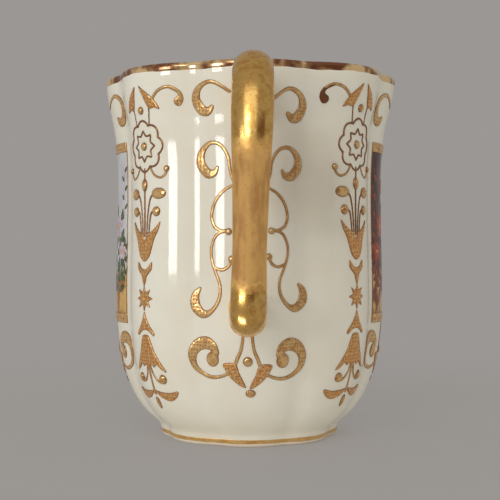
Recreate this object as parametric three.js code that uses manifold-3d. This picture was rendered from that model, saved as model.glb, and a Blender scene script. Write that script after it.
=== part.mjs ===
// A lobed porcelain espresso cup with a gilded loop handle, raised gilt
// ornament and framed side panels. Millimetres, +Z up, handle towards -Y.
import * as THREE from 'three';
import Module from 'manifold-3d';
import { mergeVertices } from 'three/addons/utils/BufferGeometryUtils.js';
import { TessellateModifier } from 'three/addons/modifiers/TessellateModifier.js';

const wasm = await Module();
wasm.setup();

// Body: radii are taken over the lobes, heights from the table
const HEIGHT = 65.75;
const RIM_RADIUS = 26.95;
const LIP_HEIGHT = 0.6;
const LIP_WALL = 1.6;
const WAIST_RADIUS = 24.8;
const WAIST_HEIGHT = 46.5;
const BELLY_RADIUS = 25.1;
const BELLY_HEIGHT = 25.5;
const FOOT_TOP_RADIUS = 16.8;
const FOOT_HEIGHT = 2;
const FOOT_RADIUS = 16;
const FOOT_RING_WIDTH = 2.2;
const FOOT_RECESS = 1.2;
const WALL = 2.2;
const FLOOR_THICKNESS = 2.6;

// How the outline leaves each of those heights
const FLARE_RISE = 12.5;
const LIP_UPRIGHT = 3.7;
const WALL_EASE = 6;
const BOWL_ROUND = 19.3;
const BOWL_LAUNCH = 1.2;

// Lobes: arc radius as a share of the radius at the same height
const LOBES = 8;
const LOBE_ARC = 0.518;
const GROOVE_FILLET = 0.05;
const FOOT_LOBING = 0.75;

// Handle: reach is from the cup's axis, half sizes are of its oval section
const HANDLE_REACH = 47;
const HANDLE_SEAT_BELOW_RIM = 9.25;
const HANDLE_OUTERMOST_BELOW_RIM = 17.75;
const HANDLE_CROWN_PULL = 22;
const HANDLE_UPPER_RISE = 6.5;
const HANDLE_LOWER_SEAT = 25.1;
const HANDLE_HEEL_TOP = 30;
const HANDLE_HEEL_PULL = 6.4;
const HANDLE_HEEL_BACK = 1;
const HANDLE_HEEL_DROP = 2.6;
const HANDLE_HALF_DEPTH = 2.75;
const HANDLE_HALF_WIDTH_CROWN = 3.2;
const HANDLE_HALF_WIDTH_GRIP = 2.55;
const HANDLE_HALF_WIDTH_END = 2.95;
const HANDLE_LEAN = THREE.MathUtils.degToRad(1.2);
const HANDLE_ASIDE = -0.6;
const HANDLE_ROOT = 2;
const SEAT_GAP = 0.3;

// Gilding and painted panels: laid on the glaze with a hairline under them
const GILT_GAP = 0.25;
const RELIEF = 0.35;
const RIM_BAND = 1.7;
const FOOT_LINE_WIDTH = 0.7;
const FOOT_LINE_HEIGHT = 1.1;
const RIM_TO_ORNAMENT = 1.2;
const PENDANT_SHIFT = 0.75;
const PANEL_HALF_WIDTH = 8.2;
const FRAME_BAR = 1.7;
const FRAME_SIDE_BAR = 0.5;
const FRAME_CLEARANCE = 0.3;
const CURL_TO_FRAME = 2.35;
const FLEUR_TO_FRAME = 0.8;

// Facets
const SEGMENTS = LOBES * 8;
const BOWL_STEPS = 6;
const WALL_STEPS = 3;
const FLARE_STEPS = 5;
const LIP_STEPS = 3;
const INSIDE_EVERY = 2;
const HANDLE_SIDES = 10;
const HANDLE_STEPS = 26;
const STROKE_STEP = 2.35;
const SHEET_FACET = 3;
const SHEET_FACET_TALLNESS = 2;
const TESSELLATE_PASSES = 8;

const porcelain = new THREE.MeshStandardMaterial({ color: 0xe2dccd, roughness: 0.12, metalness: 0 });
const gilding = new THREE.MeshStandardMaterial({ color: 0xb8893b, roughness: 0.3, metalness: 1 });
const enamel = new THREE.MeshStandardMaterial({ color: 0x9aa089, roughness: 0.25, metalness: 0 });

const v2 = (x, y) => new THREE.Vector2(x, y);
const v3 = (x, y, z) => new THREE.Vector3(x, y, z);
const { smoothstep, lerp } = THREE.MathUtils;

// Outline of the outside, from the table to the lip
const footWall = new THREE.LineCurve(v2(FOOT_RADIUS, 0), v2(FOOT_TOP_RADIUS, FOOT_HEIGHT));
const bowl = new THREE.CubicBezierCurve(
  v2(FOOT_TOP_RADIUS, FOOT_HEIGHT),
  v2(FOOT_TOP_RADIUS + BOWL_LAUNCH, FOOT_HEIGHT + BOWL_LAUNCH),
  v2(BELLY_RADIUS, BELLY_HEIGHT - BOWL_ROUND),
  v2(BELLY_RADIUS, BELLY_HEIGHT),
);
const wall = new THREE.CubicBezierCurve(
  v2(BELLY_RADIUS, BELLY_HEIGHT),
  v2(BELLY_RADIUS, BELLY_HEIGHT + WALL_EASE),
  v2(WAIST_RADIUS, WAIST_HEIGHT - WALL_EASE),
  v2(WAIST_RADIUS, WAIST_HEIGHT),
);
const lipStart = HEIGHT - LIP_HEIGHT;
const flare = new THREE.CubicBezierCurve(
  v2(WAIST_RADIUS, WAIST_HEIGHT),
  v2(WAIST_RADIUS, WAIST_HEIGHT + FLARE_RISE),
  v2(RIM_RADIUS, lipStart - LIP_UPRIGHT),
  v2(RIM_RADIUS, lipStart),
);
const outside = [
  footWall.getPoint(0),
  ...bowl.getPoints(BOWL_STEPS),
  ...wall.getPoints(WALL_STEPS).slice(1),
  ...flare.getPoints(FLARE_STEPS).slice(1),
];
const FINE = 60;
const fineOutside = [footWall, bowl, wall, flare].flatMap((curve) => curve.getPoints(FINE));

function outsideRadius(z) {
  const next = fineOutside.findIndex((point) => point.y >= z);
  if (next < 0) return fineOutside.at(-1).x;
  if (next === 0) return fineOutside[0].x;
  const below = fineOutside[next - 1];
  const above = fineOutside[next];
  const rise = above.y - below.y;
  return rise > 0 ? lerp(below.x, above.x, (z - below.y) / rise) : above.x;
}

// Plan of the lobes: equal arcs, with a fillet in each groove
const pitch = (2 * Math.PI) / LOBES;
const lobeCentre = 1 - LOBE_ARC;

function lobeArc(turn) {
  return lobeCentre * Math.cos(turn) + Math.sqrt(LOBE_ARC ** 2 - (lobeCentre * Math.sin(turn)) ** 2);
}

function lobePlan(angle) {
  const turn = Math.abs(angle - pitch * Math.round(angle / pitch));
  const own = lobeArc(turn);
  const neighbour = lobeArc(pitch - turn);
  const near = Math.max(GROOVE_FILLET - (own - neighbour), 0) / GROOVE_FILLET;
  return own + (near * near * GROOVE_FILLET) / 4;
}

function lobing(angle, z) {
  const depth = lerp(FOOT_LOBING, 1, smoothstep(z, 0, BELLY_HEIGHT));
  return 1 - depth * (1 - lobePlan(angle));
}

// Angle 0 faces -Y and grows towards +X
function wallPoint(angle, z) {
  const radius = outsideRadius(z) * lobing(angle, z);
  return v3(radius * Math.sin(angle), -radius * Math.cos(angle), z);
}

const NUDGE = 0.01;
function wallNormal(angle, z) {
  const along = wallPoint(angle + NUDGE, z).sub(wallPoint(angle - NUDGE, z));
  const up = wallPoint(angle, z + NUDGE).sub(wallPoint(angle, z - NUDGE));
  return along.cross(up).normalize();
}

// Shared vertices and no flat triangles, so that a mesh is one closed skin
function weld(geometry) {
  const bare = geometry.clone();
  bare.deleteAttribute('normal');
  bare.deleteAttribute('uv');
  const welded = mergeVertices(bare);
  const index = Array.from(welded.index.array);
  const kept = [];
  for (let i = 0; i < index.length; i += 3) {
    const [a, b, c] = index.slice(i, i + 3);
    if (a !== b && b !== c && c !== a) kept.push(a, b, c);
  }
  welded.setIndex(kept);
  return welded;
}

function solid(geometry) {
  const welded = weld(geometry);
  return new wasm.Manifold(new wasm.Mesh({
    numProp: 3,
    vertProperties: new Float32Array(welded.attributes.position.array),
    triVerts: new Uint32Array(welded.index.array),
  }));
}

function fromSolid(manifold) {
  const mesh = manifold.getMesh();
  const geometry = new THREE.BufferGeometry();
  geometry.setAttribute('position', new THREE.BufferAttribute(new Float32Array(mesh.vertProperties), 3));
  geometry.setIndex(Array.from(mesh.triVerts));
  return geometry;
}

function join(geometries) {
  return fromSolid(geometries.map(solid).reduce((whole, piece) => whole.add(piece)));
}

// A closed section turned about the axis, then pressed into lobes
function lobedLathe(section) {
  const geometry = new THREE.LatheGeometry(section, SEGMENTS).rotateX(Math.PI / 2);
  const position = geometry.attributes.position;
  for (let i = 0; i < position.count; i += 1) {
    const angle = Math.atan2(position.getX(i), -position.getY(i));
    const press = lobing(angle, position.getZ(i));
    position.setXY(i, position.getX(i) * press, position.getY(i) * press);
  }
  return weld(geometry);
}

// The body: outside, round lip, inside a wall's thickness away, and foot ring
function wallThickness(z) {
  return lerp(WALL, LIP_WALL, smoothstep(z, WAIST_HEIGHT, lipStart));
}

function lipArc(grow, steps) {
  const middle = RIM_RADIUS - LIP_WALL / 2;
  return new THREE.EllipseCurve(middle, lipStart, LIP_WALL / 2 + grow, LIP_HEIGHT + grow, 0, Math.PI)
    .getPoints(steps);
}

function insidePoint(curve, t) {
  const point = curve.getPoint(t);
  const tangent = curve.getTangent(t);
  const thickness = wallThickness(point.y);
  return v2(point.x - tangent.y * thickness, point.y + tangent.x * thickness);
}

const floorTop = FOOT_RECESS + FLOOR_THICKNESS;

function bodyGeometry() {
  const insideSteps = (steps) => Math.ceil(steps / INSIDE_EVERY);
  const inside = [[flare, insideSteps(FLARE_STEPS)], [wall, 1], [bowl, BOWL_STEPS]]
    .flatMap(([curve, steps]) => Array.from({ length: steps }, (_, i) => insidePoint(curve, 1 - i / steps)))
    .slice(1)
    .filter((point) => point.y > floorTop);
  const floorEdge = v2(inside.at(-1).x - WALL, floorTop);
  const ringInside = FOOT_RADIUS - FOOT_RING_WIDTH;
  return lobedLathe([
    v2(0, FOOT_RECESS),
    v2(ringInside - FOOT_RECESS / 2, FOOT_RECESS),
    v2(ringInside, 0),
    ...outside,
    ...lipArc(0, LIP_STEPS).slice(1),
    ...inside,
    floorEdge,
    v2(0, floorTop),
  ]);
}

// Rim band: a gilt cap over the lip, with a skirt down the outside
function rimBandGeometry() {
  const skirt = HEIGHT - RIM_BAND;
  const skirtRadius = outsideRadius(skirt) + GILT_GAP;
  return lobedLathe([
    v2(skirtRadius, skirt),
    v2(skirtRadius + RELIEF, skirt),
    ...lipArc(GILT_GAP + RELIEF, LIP_STEPS),
    ...lipArc(GILT_GAP, LIP_STEPS).reverse(),
    v2(skirtRadius, skirt),
  ]);
}

function footLineGeometry() {
  const low = FOOT_LINE_HEIGHT;
  const high = FOOT_LINE_HEIGHT + FOOT_LINE_WIDTH;
  const ring = [
    v2(outsideRadius(low) + GILT_GAP, low),
    v2(outsideRadius(low) + GILT_GAP + RELIEF, low),
    v2(outsideRadius(high) + GILT_GAP + RELIEF, high),
    v2(outsideRadius(high) + GILT_GAP, high),
  ];
  return lobedLathe([...ring, ring[0]]);
}

// Handle: an oval rod with a crown, a straight grip and a heel, trimmed to the lobe it sits on
const upperSeat = HEIGHT - HANDLE_SEAT_BELOW_RIM;
const outermostHeight = HEIGHT - HANDLE_OUTERMOST_BELOW_RIM;

function handlePath() {
  const outermost = -(HANDLE_REACH - HANDLE_HALF_DEPTH);
  const upperRoot = -(outsideRadius(upperSeat) - HANDLE_ROOT);
  const lowerRoot = -(outsideRadius(HANDLE_LOWER_SEAT) - HANDLE_ROOT);
  const path = new THREE.CurvePath();
  path.add(new THREE.CubicBezierCurve3(
    v3(0, upperRoot, upperSeat),
    v3(0, upperRoot - HANDLE_UPPER_RISE, upperSeat + HANDLE_UPPER_RISE),
    v3(0, outermost, outermostHeight + HANDLE_CROWN_PULL),
    v3(0, outermost, outermostHeight),
  ));
  path.add(new THREE.LineCurve3(
    v3(0, outermost, outermostHeight),
    v3(0, outermost, HANDLE_HEEL_TOP),
  ));
  path.add(new THREE.CubicBezierCurve3(
    v3(0, outermost, HANDLE_HEEL_TOP),
    v3(0, outermost, HANDLE_HEEL_TOP - HANDLE_HEEL_PULL),
    v3(0, outermost + HANDLE_HEEL_BACK, HANDLE_LOWER_SEAT - HANDLE_HEEL_DROP),
    v3(0, lowerRoot, HANDLE_LOWER_SEAT),
  ));
  return path;
}

const handleWidths = new THREE.CatmullRomCurve3([
  HANDLE_HALF_WIDTH_END,
  HANDLE_HALF_WIDTH_CROWN,
  HANDLE_HALF_WIDTH_CROWN,
  HANDLE_HALF_WIDTH_GRIP,
  HANDLE_HALF_WIDTH_END,
  HANDLE_HALF_WIDTH_END,
].map((half, i) => v3(i, half, 0)));

function sweptRod(path, steps, sides, halfWidth, halfDepth) {
  const points = [];
  const faces = [];
  for (let i = 0; i <= steps; i += 1) {
    const centre = path.getPointAt(i / steps);
    const tangent = path.getTangentAt(i / steps);
    const outward = v3(1, 0, 0).cross(tangent);
    for (let k = 0; k < sides; k += 1) {
      const turn = (2 * Math.PI * k) / sides;
      const rim = centre.clone().addScaledVector(outward, Math.sin(turn) * halfDepth(i / steps));
      points.push(rim.x + Math.cos(turn) * halfWidth(i / steps), rim.y, rim.z);
      const next = (k + 1) % sides;
      const a = i * sides + k;
      const b = i * sides + next;
      if (i < steps) faces.push(a, b + sides, b, a, a + sides, b + sides);
    }
  }
  const last = steps * sides;
  for (let k = 1; k < sides - 1; k += 1) {
    faces.push(0, k, k + 1, last, last + k + 1, last + k);
  }
  const geometry = new THREE.BufferGeometry();
  geometry.setAttribute('position', new THREE.Float32BufferAttribute(points, 3));
  geometry.setIndex(faces);
  return geometry;
}

// Set by hand, a little aside from the lobe's middle and leaning
const leanAt = (z) => HANDLE_ASIDE + (z - HANDLE_LOWER_SEAT) * Math.tan(HANDLE_LEAN);

function handleGeometry() {
  const rod = sweptRod(
    handlePath(),
    HANDLE_STEPS,
    HANDLE_SIDES,
    (t) => handleWidths.getPoint(t).y,
    () => HANDLE_HALF_DEPTH,
  );
  const position = rod.attributes.position;
  for (let i = 0; i < position.count; i += 1) {
    position.setX(i, position.getX(i) + leanAt(position.getZ(i)));
  }
  const seat = outside.map((point) => v2(point.x + SEAT_GAP, point.y));
  const clearance = lobedLathe([v2(0, 0), ...seat, v2(0, seat.at(-1).y)]);
  return fromSolid(solid(rod).subtract(solid(clearance)));
}

// Motifs are drawn on a flat sheet, where a lobe is this many units wide: x across
// from the motif's axis, y up from the table, and raised towards the viewer
const SHEET_LOBE = 19.4;
const sheetPoint = ([x, y]) => v2(x, y);
const CURVE_STEPS = 3;
const raise = (shape) => new THREE.ExtrudeGeometry(shape, {
  depth: RELIEF,
  bevelEnabled: false,
  curveSegments: CURVE_STEPS,
});

function stroke(route) {
  const line = new THREE.CatmullRomCurve3(route.map(([x, y, half]) => v3(x, y, half)), false, 'centripetal');
  const steps = Math.max(3, Math.round(line.getLength() / STROKE_STEP));
  const left = [];
  const right = [];
  for (let i = 0; i <= steps; i += 1) {
    const point = line.getPointAt(i / steps);
    const tangent = line.getTangentAt(i / steps).setZ(0).normalize();
    left.push(v2(point.x - tangent.y * point.z, point.y + tangent.x * point.z));
    right.push(v2(point.x + tangent.y * point.z, point.y - tangent.x * point.z));
  }
  return raise(new THREE.Shape([...left, ...right.reverse()]));
}

function leaf(base, tip, swell) {
  const [from, to] = [sheetPoint(base), sheetPoint(tip)];
  const middle = from.clone().lerp(to, 0.5);
  const side = to.clone().sub(from).normalize().rotateAround(v2(0, 0), Math.PI / 2).multiplyScalar(swell);
  const shape = new THREE.Shape();
  shape.moveTo(from.x, from.y);
  shape.quadraticCurveTo(middle.x + side.x, middle.y + side.y, to.x, to.y);
  shape.quadraticCurveTo(middle.x - side.x, middle.y - side.y, from.x, from.y);
  return raise(shape);
}

function bead([x, y], radius) {
  const shape = new THREE.Shape();
  shape.absarc(x, y, radius, 0, 2 * Math.PI);
  return raise(shape);
}

const outline = (points) => raise(new THREE.Shape(points.map(sheetPoint)));
const bothSides = (half) => [...half, ...half.filter(([x]) => x !== 0).reverse().map(([x, y]) => [-x, y])];

// A closed raised band between two rings of points, both counter-clockwise
function ringBand(outer, inner) {
  const points = outer.flatMap((point, i) => [point, inner[i]])
    .flatMap(({ x, y }) => [x, y, 0, x, y, RELIEF]);
  const faces = [];
  const quad = (a, b, c, d) => faces.push(a, b, c, a, c, d);
  outer.forEach((_, i) => {
    const [outLow, outHigh, inLow, inHigh] = [0, 1, 2, 3].map((k) => 4 * i + k);
    const next = 4 * ((i + 1) % outer.length);
    const [nextOutLow, nextOutHigh, nextInLow, nextInHigh] = [0, 1, 2, 3].map((k) => next + k);
    quad(outHigh, nextOutHigh, nextInHigh, inHigh);
    quad(nextOutLow, outLow, inLow, nextInLow);
    quad(outLow, nextOutLow, nextOutHigh, outHigh);
    quad(nextInLow, inLow, inHigh, nextInHigh);
  });
  const geometry = new THREE.BufferGeometry();
  geometry.setAttribute('position', new THREE.Float32BufferAttribute(points, 3));
  geometry.setIndex(faces);
  return geometry;
}

// A closed line round a centre, whose radius follows a formula
function polarLine([x, y], radiusAtTurn, half, steps, firstTurn) {
  const ring = (grow) => Array.from({ length: steps }, (_, i) => {
    const turn = firstTurn + (2 * Math.PI * i) / steps;
    const radius = radiusAtTurn(turn) + grow;
    return v2(x - radius * Math.sin(turn), y + radius * Math.cos(turn));
  });
  return ringBand(ring(half), ring(-half));
}

// Motifs are drawn for the right-hand side and mirrored by side = -1
const mirror = (side, points) => points.map(([x, ...rest]) => [side * x, ...rest]);
const SIDES = [['left', -1], ['right', 1]];

// Pendant, from the crown of leaves under the rim to the sprig above the foot
const ROSETTE = {
  centre: [0, 52.5],
  petals: 8,
  line: 0.25,
  inside: 3.75,
  swell: 0.65,
  tip: 2.65,
  dip: 0.75,
};
const rosetteWave = (wave, turn) => Math.abs(wave((ROSETTE.petals / 2) * turn));
const scallop = (turn) => ROSETTE.inside + ROSETTE.swell * rosetteWave(Math.cos, turn);
const starburst = (turn) => ROSETTE.tip - ROSETTE.dip * rosetteWave(Math.sin, turn);
const ROSETTE_NOTCH = Math.PI / ROSETTE.petals;
const SCALLOP_STEPS = ROSETTE.petals * 3;
const STARBURST_STEPS = ROSETTE.petals * 2;

// A leaf that leans out from the tip, with its stem down to the rosette
function crownLeaf(side) {
  return outline(mirror(side, [
    [0.5, 62.7], [2.0, 61.8], [3.5, 60.3], [4.3, 58.7], [2.5, 59.3], [2.0, 56.2], [1.5, 56.2], [1.3, 60.4],
  ]));
}

// Fine stems that swell to a bud at the outer end
function stemsWithBuds(side) {
  const routes = [
    [[1.6, 48.9, 0.25], [2.7, 47.4, 0.25], [4.1, 47.2, 0.3], [5.0, 48.2, 0.75], [5.3, 49.0, 0.4]],
    [[4.2, 44.4, 0.4], [3.4, 44.3, 0.85], [2.4, 44.1, 0.4], [1.5, 43.4, 0.25], [0.1, 40.8, 0.25]],
    [[3.6, 41.4, 0.4], [2.9, 41.3, 0.8], [2.0, 41.0, 0.4], [1.2, 40.0, 0.25], [0.1, 37.6, 0.25]],
  ];
  return routes.map((route) => stroke(mirror(side, route)));
}

function tulip() {
  return outline(bothSides([
    [0, 35.4], [0.5, 37], [2.1, 37.4], [3.8, 39.3], [2.9, 37.2], [2.0, 34.8], [1.1, 33.1], [0, 32.6],
  ]));
}

// One side of the spray carries an arch that ends in a ball, the highest motif
const ARCH = [
  [3.2, 60.4, 0.25], [4.6, 62.0, 0.3], [6.6, 62.5, 0.3], [8.2, 61.7, 0.35],
  [8.5, 60.5, 0.7], [7.9, 59.7, 0.5],
];

function sprayPieces(archSide) {
  return [
    polarLine(ROSETTE.centre, scallop, ROSETTE.line, SCALLOP_STEPS, ROSETTE_NOTCH),
    ...SIDES.flatMap(([, side]) => [crownLeaf(side), ...stemsWithBuds(side)]),
    stroke(mirror(archSide, ARCH)),
    stroke([[0, 48.4, 0.25], [0, 46.8, 0.3], [0, 45.8, 0.75], [0, 44.8, 0.3], [0, 35, 0.4]]),
    tulip(),
  ];
}

function rosetteStarPieces() {
  return [polarLine(ROSETTE.centre, starburst, ROSETTE.line, STARBURST_STEPS, 0)];
}

function arrowPieces() {
  return [outline(bothSides([
    [0, 31.5], [1.2, 31.8], [2.0, 32.6], [2.0, 31.2], [0.75, 30.2], [0, 28.4],
  ]))];
}

const STAR = { centre: [0, 26.1], points: 8, tip: 2.2, notch: 1.2 };

function starPieces() {
  const [x, y] = STAR.centre;
  const corners = Array.from({ length: STAR.points * 2 }, (_, i) => {
    const turn = (Math.PI * i) / STAR.points;
    const radius = i % 2 ? STAR.notch : STAR.tip;
    return [x + radius * Math.sin(turn), y + radius * Math.cos(turn)];
  });
  return [outline(corners)];
}

function spadePieces() {
  return [outline(bothSides([
    [0, 23.7], [0.8, 22.0], [2.4, 20.2], [2.1, 19.7], [0.9, 20.4], [0, 20.6],
  ]))];
}

function bellflowerPieces() {
  const bell = [
    [0, 19.8], [1.0, 19.3], [1.7, 17.8], [2.7, 15.6], [4.2, 13.5], [2.7, 14.3], [1.5, 14.0], [0, 13.6],
  ];
  const budStem = [[0.4, 14, 0.25], [1.1, 12.2, 0.25], [2.3, 11.5, 0.3], [3.2, 12.1, 0.8], [3.5, 12.9, 0.4]];
  const sprig = ([, side]) => [
    stroke(mirror(side, budStem)),
    leaf([side * 0.1, 9.7], [side * 5.8, 9.4], 1.5),
  ];
  return [
    outline(bothSides(bell)),
    stroke([[0, 14.2, 0.35], [0, 11.5, 0.3], [0, 9, 0.35]]),
    leaf([0, 9.4], [0, 6.4], 1.3),
    ...SIDES.flatMap(sprig),
  ];
}

// Scroll with a fat end, in a pair under the rim; its thin start is given apart,
// because it stays clear of the handle
const CURL_START = [2.7, 60.3, 0.3];
const CURL = [
  [6.3, 62.0, 0.36], [8.6, 61.3, 0.55], [9.5, 59.5, 0.85], [8.8, 57.8, 0.95],
  [7.5, 57.2, 0.75], [6.5, 58.0, 0.3],
];

function topCurlPieces(side, startsAt) {
  const [, ...heightAndHalf] = CURL_START;
  return [stroke(mirror(side, [[startsAt, ...heightAndHalf], ...CURL]))];
}

// Half of the cartouche behind the handle: a crook, two bows and a tail
function cartouchePieces(side) {
  const crook = [
    [2.6, 45.2, 0.3], [3.4, 47.6, 0.3], [3.8, 50.0, 0.32], [5.2, 52.0, 0.35], [7.2, 52.3, 0.45],
    [8.8, 50.8, 0.75], [8.9, 48.9, 0.9], [7.6, 47.4, 0.85], [6.3, 47.4, 0.6], [5.7, 48.3, 0.25],
  ];
  const upperBow = [
    [2.5, 45.5, 0.3], [4.6, 44.4, 0.3], [6.2, 42.5, 0.32], [6.8, 40.3, 0.32], [6.2, 38.5, 0.32],
    [4.9, 37.8, 0.35], [3.7, 37.7, 0.95], [2.9, 37.7, 0.4],
  ];
  const lowerBowAndTail = [
    [4.3, 37.9, 0.35], [5.9, 37.1, 0.3], [6.8, 35.2, 0.3], [6.8, 33.4, 0.3],
    [6.1, 31.2, 0.3], [5.2, 28.9, 0.3], [5.4, 26.5, 0.35], [6.8, 24.6, 0.45],
    [8.5, 24.1, 0.75], [9.9, 25.3, 0.95], [10, 27.1, 0.75], [9.1, 28.3, 0.25],
  ];
  const hook = [[6.3, 31.9, 0.3], [5.0, 31.4, 0.3], [3.8, 31.8, 0.3], [3.3, 32.9, 0.8], [3.2, 33.8, 0.4]];
  return [crook, upperBow, lowerBowAndTail, hook].map((route) => stroke(mirror(side, route)));
}

// Half of the fleur: a stem, a leaf to the middle and a scroll with a ball end
const FLEUR_BEAD = { centre: [0, 15.8], radius: 0.85 };
const FLEUR_SCROLL = [
  [3.0, 14.0, 0.3], [5.0, 13.2, 0.3], [7.0, 13.0, 0.35], [9.2, 13.7, 0.4],
  [10.7, 15.0, 0.5], [11, 17.0, 0.7], [9.9, 18.8, 0.9], [8.0, 19.4, 1.0],
  [6.3, 18.6, 0.9], [5.9, 17.3, 0.85], [6.7, 16.2, 0.9], [7.4, 15.8, 0.3],
];

function fleurPieces(side) {
  return [
    outline(mirror(side, [
      [4.3, 15.3], [2.2, 15.2], [1.6, 13.7], [0.45, 11.9], [0.4, 11.2], [1.7, 12.0], [3.1, 13.2],
    ])),
    stroke(mirror(side, [[0.9, 19.2, 0.3], [1.2, 17.8, 0.3], [2.0, 16.2, 0.35], [2.6, 15.0, 0.4]])),
    stroke(mirror(side, FLEUR_SCROLL)),
  ];
}

// From flat pieces onto the lobed wall, by the turn and the height of each point
function wrap(geometry, axisAngle, turnOf, heightOf) {
  const wrapped = weld(geometry);
  const position = wrapped.attributes.position;
  for (let i = 0; i < position.count; i += 1) {
    const angle = axisAngle + turnOf(position.getX(i));
    const z = heightOf(position.getY(i));
    const lift = GILT_GAP + position.getZ(i);
    const point = wallPoint(angle, z).addScaledVector(wallNormal(angle, z), lift);
    position.setXYZ(i, point.x, point.y, point.z);
  }
  return wrapped;
}

function splitFacets(geometry) {
  const flat = geometry.index ? geometry.toNonIndexed() : geometry.clone();
  flat.scale(1, 1 / SHEET_FACET_TALLNESS, 1);
  const split = new TessellateModifier(SHEET_FACET, TESSELLATE_PASSES).modify(flat);
  return split.scale(1, SHEET_FACET_TALLNESS, 1);
}

// The sheet is stretched so that its highest motif ends below the rim band
const highest = (route) => Math.max(...route.map(([, y, half]) => y + half));
const lowest = (route) => Math.min(...route.map(([, y, half]) => y - half));
const sheetToTurn = (x) => (x / SHEET_LOBE) * pitch;
const sheetToHeight = (y) => (y / highest(ARCH)) * (HEIGHT - RIM_BAND - RIM_TO_ORNAMENT);

function relief(pieces, axisAngle) {
  return wrap(splitFacets(join(pieces)), axisAngle, sheetToTurn, sheetToHeight);
}

// Painted panel and its gilt frame, which fills the wall between curls and fleur
const PANEL_COLUMNS = 8;
const PANEL_ROWS = 3;
const frameTop = sheetToHeight(lowest(CURL)) - CURL_TO_FRAME;
const frameBottom = sheetToHeight(highest(FLEUR_SCROLL)) + FLEUR_TO_FRAME;
const acrossToTurn = (x) => x / WAIST_RADIUS;
const trueHeight = (z) => z;

function panelGeometry(axisAngle) {
  const width = 2 * (PANEL_HALF_WIDTH - FRAME_CLEARANCE);
  const height = frameTop - frameBottom - 2 * (FRAME_BAR + FRAME_CLEARANCE);
  const slab = new THREE.BoxGeometry(width, height, RELIEF, PANEL_COLUMNS, PANEL_ROWS, 1);
  slab.translate(0, (frameTop + frameBottom) / 2, RELIEF / 2);
  return wrap(slab, axisAngle, acrossToTurn, trueHeight);
}

function rectanglePoints(halfWidth, bottom, top) {
  const corners = [v2(-halfWidth, bottom), v2(halfWidth, bottom), v2(halfWidth, top), v2(-halfWidth, top)];
  return corners.flatMap((corner, i) => {
    const next = corners[(i + 1) % corners.length];
    const steps = i % 2 ? PANEL_ROWS : PANEL_COLUMNS;
    return Array.from({ length: steps }, (_, k) => corner.clone().lerp(next, k / steps));
  });
}

function frameGeometry(axisAngle) {
  const outer = rectanglePoints(PANEL_HALF_WIDTH + FRAME_SIDE_BAR, frameBottom, frameTop);
  const inner = rectanglePoints(PANEL_HALF_WIDTH, frameBottom + FRAME_BAR, frameTop - FRAME_BAR);
  return wrap(ringBand(outer, inner), axisAngle, acrossToTurn, trueHeight);
}

// Assembly: the cup's axis stands behind the origin, which is under the middle
// of the whole cup with its handle
const cup = new THREE.Group();
cup.position.y = (HANDLE_REACH - (RIM_RADIUS + GILT_GAP + RELIEF)) / 2;

function place(name, geometry, material) {
  geometry.computeVertexNormals();
  const mesh = new THREE.Mesh(geometry, material);
  mesh.name = name;
  cup.add(mesh);
}

place('cup_body', bodyGeometry(), porcelain);
place('handle', handleGeometry(), gilding);
place('rim_band', rimBandGeometry(), gilding);
place('foot_line', footLineGeometry(), gilding);

// Lobe 0 is behind the handle; even lobes carry panels, odd lobes pendants
const PANEL_LOBES = [['right', 2], ['far', 4], ['left', 6]];
const FLEUR_LOBES = [['handle', 0], ...PANEL_LOBES];
const PENDANTS = [
  ['near_right', 1, -1],
  ['far_right', 3, 1],
  ['far_left', 5, -1],
  ['near_left', 7, 1],
];
const handleEdge = HANDLE_HALF_WIDTH_CROWN + SEAT_GAP + RELIEF;
const turnToSheet = (turn) => (turn / pitch) * SHEET_LOBE;

for (const [where, side] of SIDES) {
  place(`cartouche_${where}`, relief(cartouchePieces(side), 0), gilding);
}

for (const [lobe, number] of FLEUR_LOBES) {
  const angle = number * pitch;
  for (const [where, side] of SIDES) {
    const besideHandle = handleEdge + side * leanAt(upperSeat + HANDLE_UPPER_RISE);
    const startsAt = number === 0 ? turnToSheet(besideHandle / WAIST_RADIUS) : CURL_START[0];
    place(`top_curl_${lobe}_${where}`, relief(topCurlPieces(side, startsAt), angle), gilding);
    place(`fleur_${lobe}_${where}`, relief(fleurPieces(side), angle), gilding);
  }
  place(`fleur_bead_${lobe}`, relief([bead(FLEUR_BEAD.centre, FLEUR_BEAD.radius)], angle), gilding);
}

for (const [lobe, number] of PANEL_LOBES) {
  place(`panel_picture_${lobe}`, panelGeometry(number * pitch), enamel);
  place(`panel_frame_${lobe}`, frameGeometry(number * pitch), gilding);
}

const PENDANT_MOTIFS = {
  rosette_star: rosetteStarPieces,
  arrow: arrowPieces,
  star: starPieces,
  spade: spadePieces,
  bellflower: bellflowerPieces,
};

for (const [where, number, archSide] of PENDANTS) {
  const angle = number * pitch - (archSide * PENDANT_SHIFT) / WAIST_RADIUS;
  place(`spray_${where}`, relief(sprayPieces(archSide), angle), gilding);
  for (const [motif, pieces] of Object.entries(PENDANT_MOTIFS)) {
    place(`${motif}_${where}`, relief(pieces(), angle), gilding);
  }
}

export default new THREE.Group().add(cup);
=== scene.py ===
# %% [markdown]
# # A gilded, lobed espresso cup
#
# This lesson dresses a small porcelain coffee cup. A measured frame of solids gives every piece its
# place; Blender gives each one its fine shape and its finish. The frame is loaded first and never
# moved, so that what is built here stands where the measured cup stands.

# %% Load the measured frame
import math
from dataclasses import dataclass
from itertools import pairwise
from typing import Callable

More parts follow.
